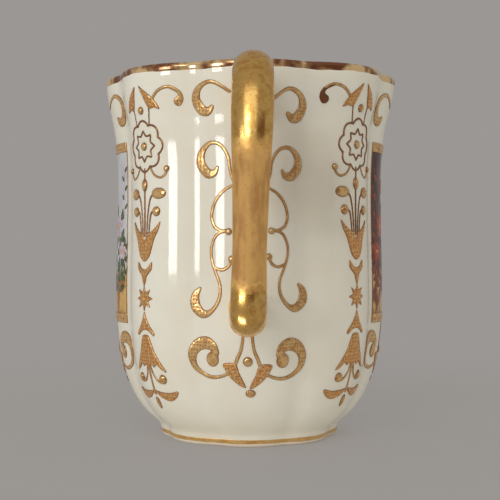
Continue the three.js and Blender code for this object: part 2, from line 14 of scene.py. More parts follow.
import bpy
import numpy as np
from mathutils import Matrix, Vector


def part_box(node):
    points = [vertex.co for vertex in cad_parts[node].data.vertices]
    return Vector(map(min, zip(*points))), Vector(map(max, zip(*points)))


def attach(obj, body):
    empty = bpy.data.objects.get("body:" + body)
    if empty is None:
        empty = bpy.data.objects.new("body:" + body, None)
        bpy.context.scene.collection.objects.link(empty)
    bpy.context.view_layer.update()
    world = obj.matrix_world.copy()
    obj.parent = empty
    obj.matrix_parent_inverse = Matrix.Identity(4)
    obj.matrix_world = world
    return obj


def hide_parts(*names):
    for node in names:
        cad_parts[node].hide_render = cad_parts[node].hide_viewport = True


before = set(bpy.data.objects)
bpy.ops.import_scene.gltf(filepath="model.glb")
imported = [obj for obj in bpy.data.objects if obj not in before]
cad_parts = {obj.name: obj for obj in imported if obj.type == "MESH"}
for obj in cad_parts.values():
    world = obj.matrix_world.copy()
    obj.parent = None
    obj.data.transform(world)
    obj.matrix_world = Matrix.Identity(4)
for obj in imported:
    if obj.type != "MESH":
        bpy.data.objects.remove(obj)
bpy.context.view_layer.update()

MM = 0.001
body_low, body_high = (np.array(corner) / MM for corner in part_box("cup_body"))
AXIS_Y = (body_low[1] + body_high[1]) / 2
print(f"{len(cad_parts)} solids; the cup's axis stands at y = {AXIS_Y:.2f} mm")

# %% [markdown]
# ## The outline of the body
#
# A cup like this is cast in a plaster mould. Its outline, from the table up, is a short foot, a round
# bowl, a wall that hardly leans, and a flare at the lip. Bezier curves are the right tool, because each
# one starts and ends with a direction that the next can share, and no kink shows in the glaze. All
# sizes are millimetres; radii are measured over the lobes, from the cup's axis.

# %% Outline of the body
HEIGHT = 66.2
LIP_HEIGHT = 0.6
LIP_WALL = 1.6
WALL = 2.2
LIP_START = HEIGHT - LIP_HEIGHT
RIM_RADIUS = (body_high[0] - body_low[0]) / 2
RIM = (RIM_RADIUS, LIP_START)
WAIST = (24.75, 46.5)
BELLY = (25.1, 27.0)
FOOT_TOP = (16.9, 2.0)
FOOT_RADIUS = 16.4
FOOT_EDGE = 0.35
FOOT_PULL = (1.2, 2.1)
BOWL_PULL = -21.6
WALL_PULL = 6.0
FLARE_PULLS = (11.3, -5.0)


def bezier(start, pull_start, pull_end, end, count=60):
    t = np.linspace(0, 1, count)[:, None]
    a, b, c, d = (np.array(point, float) for point in (start, pull_start, pull_end, end))
    return (1 - t) ** 3 * a + 3 * (1 - t) ** 2 * t * b + 3 * (1 - t) * t**2 * c + t**3 * d


def shifted(point, across, up):
    return (point[0] + across, point[1] + up)


bowl = bezier(FOOT_TOP, shifted(FOOT_TOP, *FOOT_PULL), shifted(BELLY, 0, BOWL_PULL), BELLY)
straight = bezier(BELLY, shifted(BELLY, 0, WALL_PULL), shifted(WAIST, 0, -WALL_PULL), WAIST, 30)
flare = bezier(WAIST, shifted(WAIST, 0, FLARE_PULLS[0]), shifted(RIM, 0, FLARE_PULLS[1]), RIM)
outer_wall = np.vstack([bowl, straight[1:], flare[1:]])
outside = np.vstack([[(FOOT_RADIUS, FOOT_EDGE)], outer_wall])


def outside_radius(z):
    return np.interp(z, outside[:, 1], outside[:, 0])


print(f"outline of {len(outside)} points, {RIM_RADIUS:.2f} mm at the rim")

# %% [markdown]
# ## Eight lobes
#
# Seen from above, the wall is eight equal arcs that meet in soft grooves. The lobes could be sculpted,
# but a formula for the plan keeps them exact at every height, and the same formula later lays the
# gilding on the wall.

# %% Plan of the lobes
LOBES = 8
PITCH = 2 * math.pi / LOBES
LOBE_ARC = 0.518
GROOVE_FILLET = 0.05
FOOT_LOBING = 0.75


def smoothstep(value, start, end):
    t = np.clip((value - start) / (end - start), 0, 1)
    return t * t * (3 - 2 * t)


def lobe_arc(turn):
    centre = 1 - LOBE_ARC
    return centre * np.cos(turn) + np.sqrt(LOBE_ARC**2 - (centre * np.sin(turn)) ** 2)


def lobing(angle, z):
    """Share of the full radius at an angle: 1 on a lobe's crest, less in a groove."""
    turn = np.abs(angle - PITCH * np.round(angle / PITCH))
    own, neighbour = lobe_arc(turn), lobe_arc(PITCH - turn)
    near = np.clip(GROOVE_FILLET - (own - neighbour), 0, None) / GROOVE_FILLET
    plan = own + near**2 * GROOVE_FILLET / 4
    depth = FOOT_LOBING + (1 - FOOT_LOBING) * smoothstep(z, 0, BELLY[1])
    return 1 - depth * (1 - plan)


print(f"groove depth {RIM_RADIUS * (1 - lobing(np.array(PITCH / 2), HEIGHT)):.2f} mm at the rim")

# %% [markdown]
# ## A wall that went through the kiln
#
# Porcelain softens in the fire, so no wall stays quite on its outline. Slow waves of a few hundredths of
# a millimetre make the long reflections waver. The front stands a little straighter than the curve, and
# the rim has sunk over the handle and pulled to one side. A Displace modifier could do this, but the
# gilding has to follow the same wall, so the wall is a function that any piece can ask.

# %% The fired wall
SLOW_WAVE = 0.035
QUICK_WAVE = 0.02
FRONT_FULL = (0.28, 47, 6)
FRONT_TUCK = (0.3, 59, 2.5)
RIM_PULL = 0.25
RIM_PULL_FROM = 56
RIM_TILT = 0.15
RIM_WARP = 0.3
NUDGE = 0.004


def hump(z, size, middle, spread):
    return size * np.exp(-(((z - middle) / spread) ** 2))


def waver(angle, z):
    """How far the fired wall strays from its outline."""
    slow = np.sin(3 * angle + 0.7 + z / 21) + 0.7 * np.sin(5 * angle - z / 9)
    waves = SLOW_WAVE * slow + QUICK_WAVE * np.sin(z / 4.5 + 2 * angle)
    front = np.cos(angle) ** 2 * (hump(z, *FRONT_FULL) - hump(z, *FRONT_TUCK))
    return waves + front + RIM_PULL * (1 + np.sin(angle)) * smoothstep(z, RIM_PULL_FROM, HEIGHT)


def turned(angle, radius, z):
    """Points at an angle round the axis: 0 faces the handle's side, and it grows towards +X."""
    return np.stack([radius * np.sin(angle), AXIS_Y - radius * np.cos(angle), z + 0 * angle], -1)


def settled(angle, z):
    """Height after firing, when the rim has sunk a little to one side and over the handle."""
    sag = RIM_TILT * np.sin(angle) + RIM_WARP * np.sin(angle) ** 2
    return z + sag * smoothstep(z, WAIST[1], HEIGHT)


def wall_point(angle, z):
    return turned(angle, outside_radius(z) * lobing(angle, z) + waver(angle, z), settled(angle, z))


def unit(vectors):
    return vectors / np.linalg.norm(vectors, axis=-1, keepdims=True)


def wall(angle, z, lift):
    """Points a little above the wall, along its normal."""
    along = wall_point(angle + NUDGE, z) - wall_point(angle - NUDGE, z)
    up = wall_point(angle, z + NUDGE) - wall_point(angle, z - NUDGE)
    return wall_point(angle, z) + unit(np.cross(along, up)) * np.asarray(lift)[..., None]


print(f"on the handle's side the waist strays by {waver(0.0, WAIST[1]):.2f} mm")

# %% [markdown]
# ## Small tools: pieces
#
# Every piece is a mesh of points in millimetres, shaded smooth, given a material and tied to the frame:
# it rides the cup's one body and, where it dresses a measured solid, replaces it. Rings of points joined
# by quads serve the body, the handle and the bands alike, and they leave no modifier whose result would
# have to be guessed.

# %% Helpers for pieces


def new_object(name, data):
    thing = bpy.data.objects.new(name, data)
    bpy.context.scene.collection.objects.link(thing)
    return thing


def new_mesh(name, points, faces, material):
    mesh = bpy.data.meshes.new(name)
    mesh.from_pydata(np.asarray(points).tolist(), [], faces)
    mesh.materials.append(material)
    return new_object(name, mesh)


def new_piece(name, points, faces, material, node=None):
    piece = new_mesh(name, points * MM, faces, material)
    piece.data.shade_smooth()
    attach(piece, "root")
    if node:
        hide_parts(node)
    return piece


def around(count):
    """The angles of even steps round a circle."""
    return np.arange(count) * 2 * math.pi / count


def ring_faces(rows, columns):
    """Quads between rows of points, each row a closed ring."""
    faces = []
    for start in range(0, (rows - 1) * columns, columns):
        for k in range(columns):
            after = (k + 1) % columns
            faces.append((start + k, start + after, start + columns + after, start + columns + k))
    return faces


print("two rings of four points have", len(ring_faces(2, 4)), "faces between them")

# %% [markdown]
# ## Small tools: shader nodes
#
# A material is a tree of nodes. In the editor each one is added, set and wired by hand; here one call
# does all three, and a value that is not wired is set on the socket itself. The patterns that wear and
# kiln leave come from noise fixed to the piece, so nothing depends on where the camera stands.

# %% Helpers for materials


def new_material(name):
    material = bpy.data.materials.new(name)
    material.use_nodes = True
    tree = material.node_tree
    return material, tree, tree.nodes["Principled BSDF"]


def dress(tree, node, inputs):
    """Wires or sets a node's inputs, which are named or numbered."""
    for key, value in inputs.items():
        if isinstance(value, bpy.types.NodeSocket):
            tree.links.new(value, node.inputs[key])
        else:
            node.inputs[key].default_value = value


def add(tree, kind, settings=None, **inputs):
    node = tree.nodes.new(kind)
    for key, value in (settings or {}).items():
        setattr(node, key, value)
    dress(tree, node, inputs)
    return node


def numbered(tree, kind, settings, output, inputs):
    node = add(tree, kind, settings)
    dress(tree, node, inputs)
    return node.outputs[output]


def maths(tree, operation, *values):
    return numbered(tree, "ShaderNodeMath", {"operation": operation}, 0, dict(enumerate(values)))


def between(tree, value, from_low, from_high, to_low=0.0, to_high=1.0):
    """Eases from one value to another while an input crosses a range."""
    limits = dict(enumerate((value, from_low, from_high, to_low, to_high)))
    return numbered(tree, "ShaderNodeMapRange", {"interpolation_type": "SMOOTHSTEP"}, 0, limits)


def eased(tree, share, low, high):
    return between(tree, share, 0.0, 1.0, low, high)


def mix_colour(tree, share, first, second):
    return numbered(tree, "ShaderNodeMix", {"data_type": "RGBA"}, 2, {0: share, 6: first, 7: second})


print("node helpers: add, maths, between, eased, mix_colour")

# %% Colours and patterns
NOISE_SPAN = (0.3, 0.7)


def colour(red, green, blue):
    """An opaque colour from the numbers 0 to 255 that a picture editor shows."""
    parts = (np.array([red, green, blue]) / 255.0 + 0.055) / 1.055
    return (*(parts**2.4).tolist(), 1.0)


def own_place(tree):
    return add(tree, "ShaderNodeTexCoord").outputs["Object"]


def height_above_table(tree):
    return add(tree, "ShaderNodeSeparateXYZ", Vector=own_place(tree)).outputs["Z"]


def place_noise(tree, size_mm, detail=4.0, roughness=0.55, stretch=(1, 1, 1)):
    """Noise whose blotches are about size_mm across, fixed to the object."""
    mapping = add(tree, "ShaderNodeMapping", Vector=own_place(tree), Scale=stretch)
    noise = add(tree, "ShaderNodeTexNoise", Vector=mapping.outputs["Vector"],
                Scale=1 / (size_mm * MM), Detail=detail, Roughness=roughness)
    return noise.outputs[0]


def bump(tree, shader, height, depth_mm):
    node = add(tree, "ShaderNodeBump", Height=height, Distance=depth_mm * MM, Strength=1.0)
    dress(tree, shader, {"Normal": node.outputs["Normal"]})


print("a middle grey reaches the shader as", round(colour(128, 128, 128)[0], 3))

# %% [markdown]
# ## Glazed porcelain
#
# Porcelain is a warm white body under a clear glaze. The colour drifts a little, and the glaze is not
# quite flat: slow ripples bend the reflections. The foot ring is wiped clean before firing, so there it
# is dry and rougher. All of that is one shader, driven by noise and by height.

# %% Porcelain finish
WIPED_TO = 0.25 * MM
GLAZED_FROM = 0.6 * MM
GLAZE_ROUGHNESS = (0.05, 0.09)
DRY_ROUGHNESS = 0.6
GLAZE_IOR = 1.52
RIPPLE = 0.02


def porcelain_finish():
    material, tree, shader = new_material("glazed_porcelain")
    drift = between(tree, place_noise(tree, 11, detail=3), *NOISE_SPAN)
    clouds = mix_colour(tree, drift, colour(236, 229, 210), colour(241, 236, 220))
    glazed = between(tree, height_above_table(tree), WIPED_TO, GLAZED_FROM)
    gloss = between(tree, place_noise(tree, 3, detail=2), *NOISE_SPAN, *GLAZE_ROUGHNESS)
    dress(tree, shader, {
        "Base Color": mix_colour(tree, glazed, colour(214, 202, 182), clouds),
        "Roughness": eased(tree, glazed, DRY_ROUGHNESS, gloss),
        "IOR": GLAZE_IOR,
    })
    bump(tree, shader, place_noise(tree, 5, detail=1), RIPPLE)
    return material


porcelain = porcelain_finish()
print("made", porcelain.name)

# %% [markdown]
# ## The body
#
# The outline is completed with the rounded lip, the inside a wall's thickness away, the floor and the
# foot ring, and turned about the axis. A Screw modifier could turn it, but the lobes press every ring
# into a flower, so the rings are computed here, one per point of the section.

# %% Section of the body
FOOT_RING_WIDTH = 2.2
FOOT_RECESS = 1.2
FLOOR_THICKNESS = 2.6
FLOOR_TOP = FOOT_RECESS + FLOOR_THICKNESS
FLOOR_ROUND = 3.0
FLOOR_PULL = 1.0
# steps of the foot ring: distance from its inner and from its outer edge, height
RING_INSIDE = [(-1.5, FOOT_RECESS), (-0.3, 0.9), (0.1, 0.15), (0.4, 0)]
RING_OUTSIDE = [(-0.3, 0), (-0.08, 0.1)]


def lip_arc(count=14):
    """The rounded lip, from the outside to the inside."""
    turn = np.linspace(0, math.pi, count)
    across = RIM_RADIUS - LIP_WALL / 2 + LIP_WALL / 2 * np.cos(turn)
    return np.stack([across, LIP_START + LIP_HEIGHT * np.sin(turn)], -1)


def inside_line():
    tangent = unit(np.gradient(outer_wall, axis=0))
    thickness = WALL + (LIP_WALL - WALL) * smoothstep(outer_wall[:, 1], WAIST[1], LIP_START)
    inner = outer_wall + np.stack([-tangent[:, 1], tangent[:, 0]], -1) * thickness[:, None]
    return inner[inner[:, 1] > FLOOR_TOP + FLOOR_ROUND / 2][::-1]


def body_section():
    inner = inside_line()[1:]
    corner = (inner[-1][0] - FLOOR_PULL, FLOOR_TOP)
    middle, end = shifted(corner, -FLOOR_PULL, 0), shifted(corner, -FLOOR_ROUND, 0)
    floor = bezier(inner[-1], corner, middle, end, 10)[1:]
    ring = FOOT_RADIUS - FOOT_RING_WIDTH
    foot_ring = [(0, FOOT_RECESS), *((ring + across, z) for across, z in RING_INSIDE),
                 *((FOOT_RADIUS + across, z) for across, z in RING_OUTSIDE)]
    return np.vstack([foot_ring, outside, lip_arc()[1:], inner, floor, [(0, FLOOR_TOP)]])


print(f"section of {len(body_section())} points, from the foot's middle to the floor's")

# %% Turn and press the body
SEGMENTS = LOBES * 40
POLE = 0.005 * MM


def pressed_rings(section):
    """Rings of points, one per point of the section; near the axis the wall hardly strays."""
    angle = around(SEGMENTS)
    rings = []
    for radius, z in section:
        stray = min(radius / FOOT_RADIUS, 1) * waver(angle, z)
        rings.append(turned(angle, radius * lobing(angle, z) + stray, settled(angle, z)))
    return np.array(rings)


body_rings = pressed_rings(body_section())
body_faces = ring_faces(*body_rings.shape[:2])
glazed_body = new_piece("glazed_body", body_rings.reshape(-1, 3), body_faces, porcelain,
                        "cup_body")
weld = glazed_body.modifiers.new("weld", "WELD")  # joins the points that fell together on the axis
weld.merge_threshold = POLE
print(f"body of {len(body_faces)} faces")

# %% [markdown]
# ## How gold wears, and painted shade on the ornament
#
# Gold on porcelain is a film a few thousandths of a millimetre thick. Fingers rub the grip of a handle
# until it is smeared, rough and hardly metal any more, while its two bends stay bright. On the ornament
# three numbers stored on the mesh tell the shader how near the edge a point is, where a punch has
# struck, and whether it lies on a leaf or a bead: edges and punch marks are painted brown, partly as an
# outline and partly as painted shade, leaves are redder with painted glints, and beads shine. An image
# could be painted for each motif, but stored numbers follow the shape by itself.

# %% Wear on gold
UMBER = colour(120, 70, 36)
SHEEN_GOLD = colour(240, 198, 122)
LEAF_GOLD = colour(236, 168, 98)
# painted glints: bright specks on the leaves
PAINTED_GLINT_GOLD = colour(255, 226, 164)
# the two browns below: partly a brown outline and partly painted shade at edges and in punch marks
OUTLINE_AND_SHADE_BROWN = colour(122, 70, 46)
DENT_SHADE_BROWN = colour(150, 94, 50)
SMEARS = (colour(190, 148, 84), colour(166, 120, 66))
GRIP_LOW = (30 * MM, 33 * MM)
GRIP_HIGH = (49.5 * MM, 56 * MM)
GRIP_UNEVEN = 5 * MM
GRIP_SHEEN = 0.35
GRIP_ROUGHNESS = 0.72
GRIP_METAL = 0.4
BEAD_ROUGHNESS = 0.12


def worn_grip(tree):
    """1 where fingers hold the handle, 0 at its two bends."""
    uneven = maths(tree, "MULTIPLY_ADD", place_noise(tree, 1.6), GRIP_UNEVEN, height_above_table(tree))
    return between(tree, uneven, *GRIP_HIGH, between(tree, uneven, *GRIP_LOW), 0.0)


def fingered_gold(tree, shader, tone, polish):
    """Dulls the grip: gives its tone, its polish and how metallic it is."""
    worn = worn_grip(tree)
    smears = between(tree, place_noise(tree, 1.5, detail=5, stretch=(1, 1, 0.35)), 0.4, 0.68)
    tone = mix_colour(tree, worn, tone, mix_colour(tree, smears, *SMEARS))
    dress(tree, shader, {"Sheen Weight": eased(tree, worn, 0.0, GRIP_SHEEN), "Sheen Tint": SHEEN_GOLD})
    return tone, eased(tree, worn, polish, GRIP_ROUGHNESS), eased(tree, worn, 1.0, GRIP_METAL)


def struck_gold(tree, tone, polish):
    """Browns outlines and punch marks (partly painted shade), reddens leaves with painted glints, polishes
    beads.
    """
    marks = add(tree, "ShaderNodeAttribute", {"attribute_name": "gilding"}).outputs["Color"]
    edge, dent, leaf = add(tree, "ShaderNodeSeparateColor", Color=marks).outputs
    # painted glints: bright specks of noise on the leaves
    painted_glints = between(tree, place_noise(tree, 0.24, detail=2), 0.52, 0.62)
    tone = mix_colour(tree, leaf, tone, mix_colour(tree, painted_glints, LEAF_GOLD, PAINTED_GLINT_GOLD))
    # painted shade: edges and punch marks are browned
    tone = mix_colour(tree, dent, mix_colour(tree, edge, tone, OUTLINE_AND_SHADE_BROWN), DENT_SHADE_BROWN)
    return tone, between(tree, leaf, -1.0, -0.5, BEAD_ROUGHNESS, polish)


# for the ornament this is painted shade at edges and punch marks, and painted glints on the leaves
print("wear for the grip and for the ornament")

# %% [markdown]
# ## Four golds
#
# Burnished gold is bright on the high places, and a century of use leaves brown, duller patches and fine
# specks. One function makes all four golds: it takes the two tones, the size of the patches and how far
# they go. The rim's broad brown patches are partly wear and partly painted dark reflection, the foot
# line is dull, and the handle is the brightest.

# %% Gold finishes
SPECK_SIZE = 0.28
SPECK_STRENGTH = 0.5
POLISH_SPAN = (0.35, 0.7)
BRUSH_MARKS = 0.006


def gold_finish(name, patch_mm, bright, patch, roughness, spread=(0.4, 0.7), metal=1.0, detail=6,
                tooled=False, gripped=False):
    """Gold of two tones in patches; where it is darker it is also rougher."""
    material, tree, shader = new_material(name)
    patches = place_noise(tree, patch_mm, detail=detail, roughness=0.6)
    tone = mix_colour(tree, between(tree, patches, *spread), bright, patch)
    polish = between(tree, patches, *POLISH_SPAN, *roughness)
    if gripped:
        tone, polish, metal = fingered_gold(tree, shader, tone, polish)
    specks = between(tree, place_noise(tree, SPECK_SIZE, detail=3), 0.6, 0.72, 0.0, SPECK_STRENGTH)
    tone = mix_colour(tree, specks, tone, UMBER)
    if tooled:
        tone, polish = struck_gold(tree, tone, polish)
    dress(tree, shader, {"Base Color": tone, "Roughness": polish, "Metallic": metal})
    bump(tree, shader, place_noise(tree, 0.45, detail=2), BRUSH_MARKS)
    return material


handle_gold = gold_finish("burnished_gold", 1.3, colour(254, 208, 122), colour(224, 166, 88), (0.17, 0.3),
                          gripped=True)
# the rim band's dark patches are partly wear and partly painted dark reflection
band_gold = gold_finish("band_gold", 4.0, colour(248, 212, 154), colour(138, 86, 58), (0.08, 0.18),
                        spread=(0.43, 0.63), metal=0.6, detail=2)
foot_gold = gold_finish("foot_gold", 2.0, colour(232, 190, 124), colour(212, 158, 82), (0.3, 0.45), metal=0.5)
tooled_gold = gold_finish("tooled_gold", 0.9, colour(247, 207, 142), colour(212, 154, 92), (0.2, 0.38),
                          metal=0.62, tooled=True)
print("made", handle_gold.name, band_gold.name, foot_gold.name, tooled_gold.name)

# %% [markdown]
# ## The handle
#
# The handle is a rod of oval section, bent into a loop and stuck on with slip while both pieces are
# leather-hard. A bevelled curve would give the loop, but not a section that swells at the crown and
# runs out into the wall, so the rings are placed along two Bezier curves and the straight grip between
# them. It was set by eye and leans a little, and the slip leaves a small foot where it meets the wall.

# %% The handle's line
HANDLE_REACH = AXIS_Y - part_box("handle")[0][1] / MM
UPPER_SEAT = 56.5
OUTERMOST = 48.0
LOWER_SEAT = 25.1
SEAT_INSIDE = 1.5
SEAT_PULL = 6.5
CROWN_PULL = 22.0
HEEL_TOP = 30.0
HEEL_PULL = 6.4
HEEL_BACK = 1.0
HEEL_DROP = 2.6
HALF_DEPTH = 2.75


def travelled(line):
    """Distance along a line at each of its points."""
    return np.concatenate([[0], np.cumsum(np.linalg.norm(np.diff(line, axis=0), axis=1))])


def handle_line():
    """The loop's centre line as distance from the axis and height, evenly spaced."""
    reach = HANDLE_REACH - HALF_DEPTH
    upper, lower = ((outside_radius(z) - SEAT_INSIDE, z) for z in (UPPER_SEAT, LOWER_SEAT))
    top, heel_top = (reach, OUTERMOST), (reach, HEEL_TOP)
    crown = bezier(upper, shifted(upper, SEAT_PULL, SEAT_PULL), shifted(top, 0, CROWN_PULL), top, 120)
    turn_in = (reach - HEEL_BACK, LOWER_SEAT - HEEL_DROP)
    heel = bezier(heel_top, shifted(heel_top, 0, -HEEL_PULL), turn_in, lower, 120)
    line = np.vstack([crown, heel])
    way = travelled(line)
    even = np.linspace(0, way[-1], 180)
    return np.stack([np.interp(even, way, line[:, k]) for k in (0, 1)], -1)


print(f"handle line {travelled(handle_line())[-1]:.1f} mm long")

# %% [markdown]
# ## The handle's section
#
# Along the line the oval swells at the crown, is slimmest where the fingers hold it, and swells again at
# the heel. Its half widths are given at a few places and smoothed. What would poke through into the bowl
# is moved out to just under the wall's surface.

# %% Sweep the handle
HALF_WIDTHS = {0.0: 2.95, 0.2: 3.2, 0.36: 3.28, 0.44: 2.9, 0.52: 2.72, 0.63: 2.53, 0.71: 2.8, 0.85: 2.95,
               1.0: 2.95}
SMOOTHING = 17
SLIP_SWELL = 0.08
SLIP_REACH = 0.8
HANDLE_OFFSET = -0.65
LEAN_FROM = 22.9
LEAN = math.tan(math.radians(1.2))
BURIED = 0.6
HANDLE_SIDES = 72


def half_widths(count):
    widths = np.interp(np.linspace(0, 1, count), list(HALF_WIDTHS), list(HALF_WIDTHS.values()))
    padded = np.pad(widths, SMOOTHING // 2, mode="edge")
    return np.convolve(padded, np.ones(SMOOTHING) / SMOOTHING, mode="valid")


def handle_rings():
    line = handle_line()
    turn = around(HANDLE_SIDES)
    rings = []
    for (radius, z), (run, rise), half in zip(line, unit(np.gradient(line, axis=0)), half_widths(len(line))):
        clear = max(radius - outside_radius(z), 0.0)
        slip = 1 + SLIP_SWELL * math.exp(-((clear / SLIP_REACH) ** 2))
        out = HALF_DEPTH * slip * np.sin(turn)
        heights = z - run * out
        x = half * slip * np.cos(turn) + HANDLE_OFFSET + (heights - LEAN_FROM) * LEAN
        rings.append(np.stack([x, AXIS_Y - (radius + rise * out), heights], -1))
    return np.array(rings)


def keep_out_of_the_bowl(points):
    """Moves what is buried in the wall out to just under its surface, so nothing shows inside."""
    x, back, z = points[:, 0], AXIS_Y - points[:, 1], points[:, 2]
    angle, radius = np.arctan2(x, back), np.hypot(x, back)
    return turned(angle, np.maximum(radius, outside_radius(z) * lobing(angle, z) - BURIED), z)


rings = handle_rings()
handle_points = keep_out_of_the_bowl(rings.reshape(-1, 3))
handle_faces = [(face[0], *face[:0:-1]) for face in ring_faces(*rings.shape[:2])]  # turned to face outwards
first_end = tuple(range(HANDLE_SIDES))
last_end = tuple(reversed(range(len(handle_points) - HANDLE_SIDES, len(handle_points))))
gilt_handle = new_piece("gilt_handle", handle_points, [*handle_faces, first_end, last_end], handle_gold,
                        "handle")
print(f"handle of {len(rings)} rings, reach {HANDLE_REACH:.1f} mm")

# %% [markdown]
# ## Gold on the rim and foot
#
# A gilder turns the cup on a wheel and lays these bands with a loaded brush, so their edges wander by a
# tenth of a millimetre. A painted mask would leave them flat. Here each band is a skin over the glaze: it
# starts just under the surface, rises to a film, and dives again, which hides its edge without a gap.

# %% Rim band and foot line
RIM_BAND = 1.3
RIM_BAND_INSIDE = 1.2
RIM_FROM = 58
FOOT_LINE = (0.55, 1.35)
WANDER_OUTSIDE = 0.09
WANDER_INSIDE = 0.05
WANDER_FOOT = 0.03
FILM = 0.07
DIVE = 0.02


def brush_edge(angle, amount, seed):
    wander = np.sin(7 * angle + seed) + 0.6 * np.sin(17 * angle + 2 * seed) + 0.4 * np.sin(41 * angle - seed)
    return amount * wander


def film_height(share):
    """Height of a skin across its width: just under the glaze at both edges."""
    return FILM * np.clip(8 * np.minimum(share, 1 - share), 0, 1) - DIVE


def band_piece(name, rows, material, node):
    faces = ring_faces(*rows.shape[:2])
    return new_piece(name, rows.reshape(-1, 3), faces, material, node)


def rim_rows(angle):
    inner = inside_line()
    line = np.vstack([outside[outside[:, 1] > RIM_FROM], lip_arc(30)[1:], inner[inner[:, 1] > RIM_FROM]])
    way = travelled(line)
    normal = unit(np.gradient(line, axis=0)[:, ::-1] * (1, -1))
    top = way[np.argmax(line[:, 1])]
    first = top - RIM_BAND - LIP_HEIGHT + brush_edge(angle, WANDER_OUTSIDE, 1.3)
    last = top + RIM_BAND_INSIDE + brush_edge(angle, WANDER_INSIDE, 4.1)
    rows = []
    for share in np.linspace(0, 1, 22):
        at = first + (last - first) * share
        radius, z, out, up = (np.interp(at, way, values) for values in (*line.T, *normal.T))
        lift = film_height(share)
        across = (radius + out * lift) * lobing(angle, z) + waver(angle, z)
        rows.append(turned(angle, across, settled(angle, z) + up * lift))
    return np.array(rows)


def foot_rows(angle):
    low, high = (z + brush_edge(angle, WANDER_FOOT, seed) for z, seed in zip(FOOT_LINE, (0.4, 2.2)))
    rows = []
    for share in np.linspace(0, 1, 9):
        rows.append(wall(angle, low + (high - low) * share, np.full(len(angle), film_height(share))))
    return np.array(rows)


band_piece("gilt_rim", rim_rows(around(SEGMENTS * 2)), band_gold, "rim_band")
band_piece("gilt_foot_line", foot_rows(around(SEGMENTS)), foot_gold, "foot_line")
print("bands laid on the rim and the foot")

# %% [markdown]
# ## Drawing the ornament
#
# The scrolls, buds and leaves were built up in a paste, gilded, and then struck with a fine punch. Curves
# could be bevelled, but then crossing strokes would cut through each other. So the motifs are drawn
# flat, in millimetres, x across and y up from the table, with a few points each, and every mark answers
# one question for a grid of points: how deep inside its outline is this point, and how high does the
# paste stand there? The highest mark wins, so strokes that cross run together as paste does.

# %% Curves through points
LINE_LIFT = 0.16
PLATE_LIFT = 0.2
BEAD_LIFT = 0.45
BEVEL = 0.3


@dataclass
class Mark:
    """A mark's field gives depth, height and tooling; leafy is 1 on a leaf and -1 on a bead."""

    field: Callable
    corners: np.ndarray
    leafy: int = 0
    fine: float = 0.0


def smooth(points, closed=False, count=7):
    """A Catmull-Rom curve through the points, with count steps between each two."""
    points = np.array(points, float)
    before, behind = (points[-1:], points[:2]) if closed else (points[:1], points[-1:])
    padded = np.vstack([before, points, behind])
    steps = np.linspace(0, 1, count, endpoint=False)[:, None]
    pieces = []
    for a, b, c, d in zip(padded, padded[1:], padded[2:], padded[3:]):
        pieces.append(0.5 * (2 * b + (c - a) * steps + (2 * a - 5 * b + 4 * c - d) * steps**2
                             + (3 * b - a - 3 * c + d) * steps**3))
    if not closed:
        pieces.append(points[-1:])
    return np.vstack(pieces)


def nearest_on(path, x, y):
    """Distance from each point to every segment of a line, and the share of the way along it."""
    start, span = path[:-1, :2], np.diff(path[:, :2], axis=0)
    length = np.maximum((span**2).sum(1), 1e-12)
    across, up = x[..., None] - start[:, 0], y[..., None] - start[:, 1]
    along = np.clip((across * span[:, 0] + up * span[:, 1]) / length, 0, 1)
    return np.hypot(across - along * span[:, 0], up - along * span[:, 1]), along


def dome(share, power=2):
    return np.sqrt(np.clip(1 - share**power, 0, 1))


def bevelled(depth, lift):
    return lift * dome(1 - np.clip(depth / BEVEL, 0, 1))


print("a curve through 3 points has", len(smooth([(0, 0), (1, 1), (2, 0)])), "points")

# %% [markdown]
# ## Four kinds of mark
#
# A stroke is a brush line that swells and thins; its fat parts are struck with the punch. A plate is a
# leaf or a star with a soft edge, struck all over. A bead is a drop of paste, and a flower line is a fine
# closed line whose distance from a centre follows a formula.

# %% Strokes and plates
FAT_STROKE = 0.55
FINE_STROKE = 0.25
THINNEST = 0.08
PLATE_BORDER = 0.25


def stroke(route):
    """A brush line with a half width at each point of its route."""
    path = smooth(route)

    def field(x, y):
        distance, along = nearest_on(path, x, y)
        half = np.maximum(path[:-1, 2] + along * np.diff(path[:, 2]), THINNEST)
        best = np.argmax(half - distance, axis=-1)[..., None]
        distance, half = (np.take_along_axis(values, best, -1)[..., 0] for values in (distance, half))
        height = LINE_LIFT * dome(distance / half, 4) * np.clip(half / 0.5, 0.7, 1.4)
        return half - distance, height, half > FAT_STROKE

    return Mark(field, path[:, :2], fine=path[:, 2].max() < FINE_STROKE)


def plate(outline, lift=PLATE_LIFT, rounded=True):
    """A filled shape with a soft edge, tooled all over."""
    loop = smooth(outline, closed=True, count=5) if rounded else np.array(outline, float)
    path = np.vstack([loop, loop[:1]])

    def field(x, y):
        distance = nearest_on(path, x, y)[0].min(-1)
        inside = np.zeros(x.shape, bool)
        for (x0, y0), (x1, y1) in pairwise(path):
            if y0 != y1:
                inside ^= ((y0 > y) != (y1 > y)) & (x < (x1 - x0) * (y - y0) / (y1 - y0) + x0)
        depth = np.where(inside, distance, -distance)
        return depth, bevelled(depth, lift), depth > PLATE_BORDER

    return Mark(field, path, leafy=1)


print("strokes under", FINE_STROKE, "mm are fine, and over", FAT_STROKE, "mm they are struck")

# %% Beads, flower lines and mirror images


def bead(centre, across, tall=None, lift=BEAD_LIFT):
    """A drop of paste, round or oval, bright and untooled."""
    middle, reach = np.array(centre), np.array((across, tall or across))

    def field(x, y):
        out = np.hypot((x - middle[0]) / reach[0], (y - middle[1]) / reach[1])
        return (1 - out) * reach.min(), lift * dome(out), False

    return Mark(field, np.array([middle - reach, middle + reach]), leafy=-1)


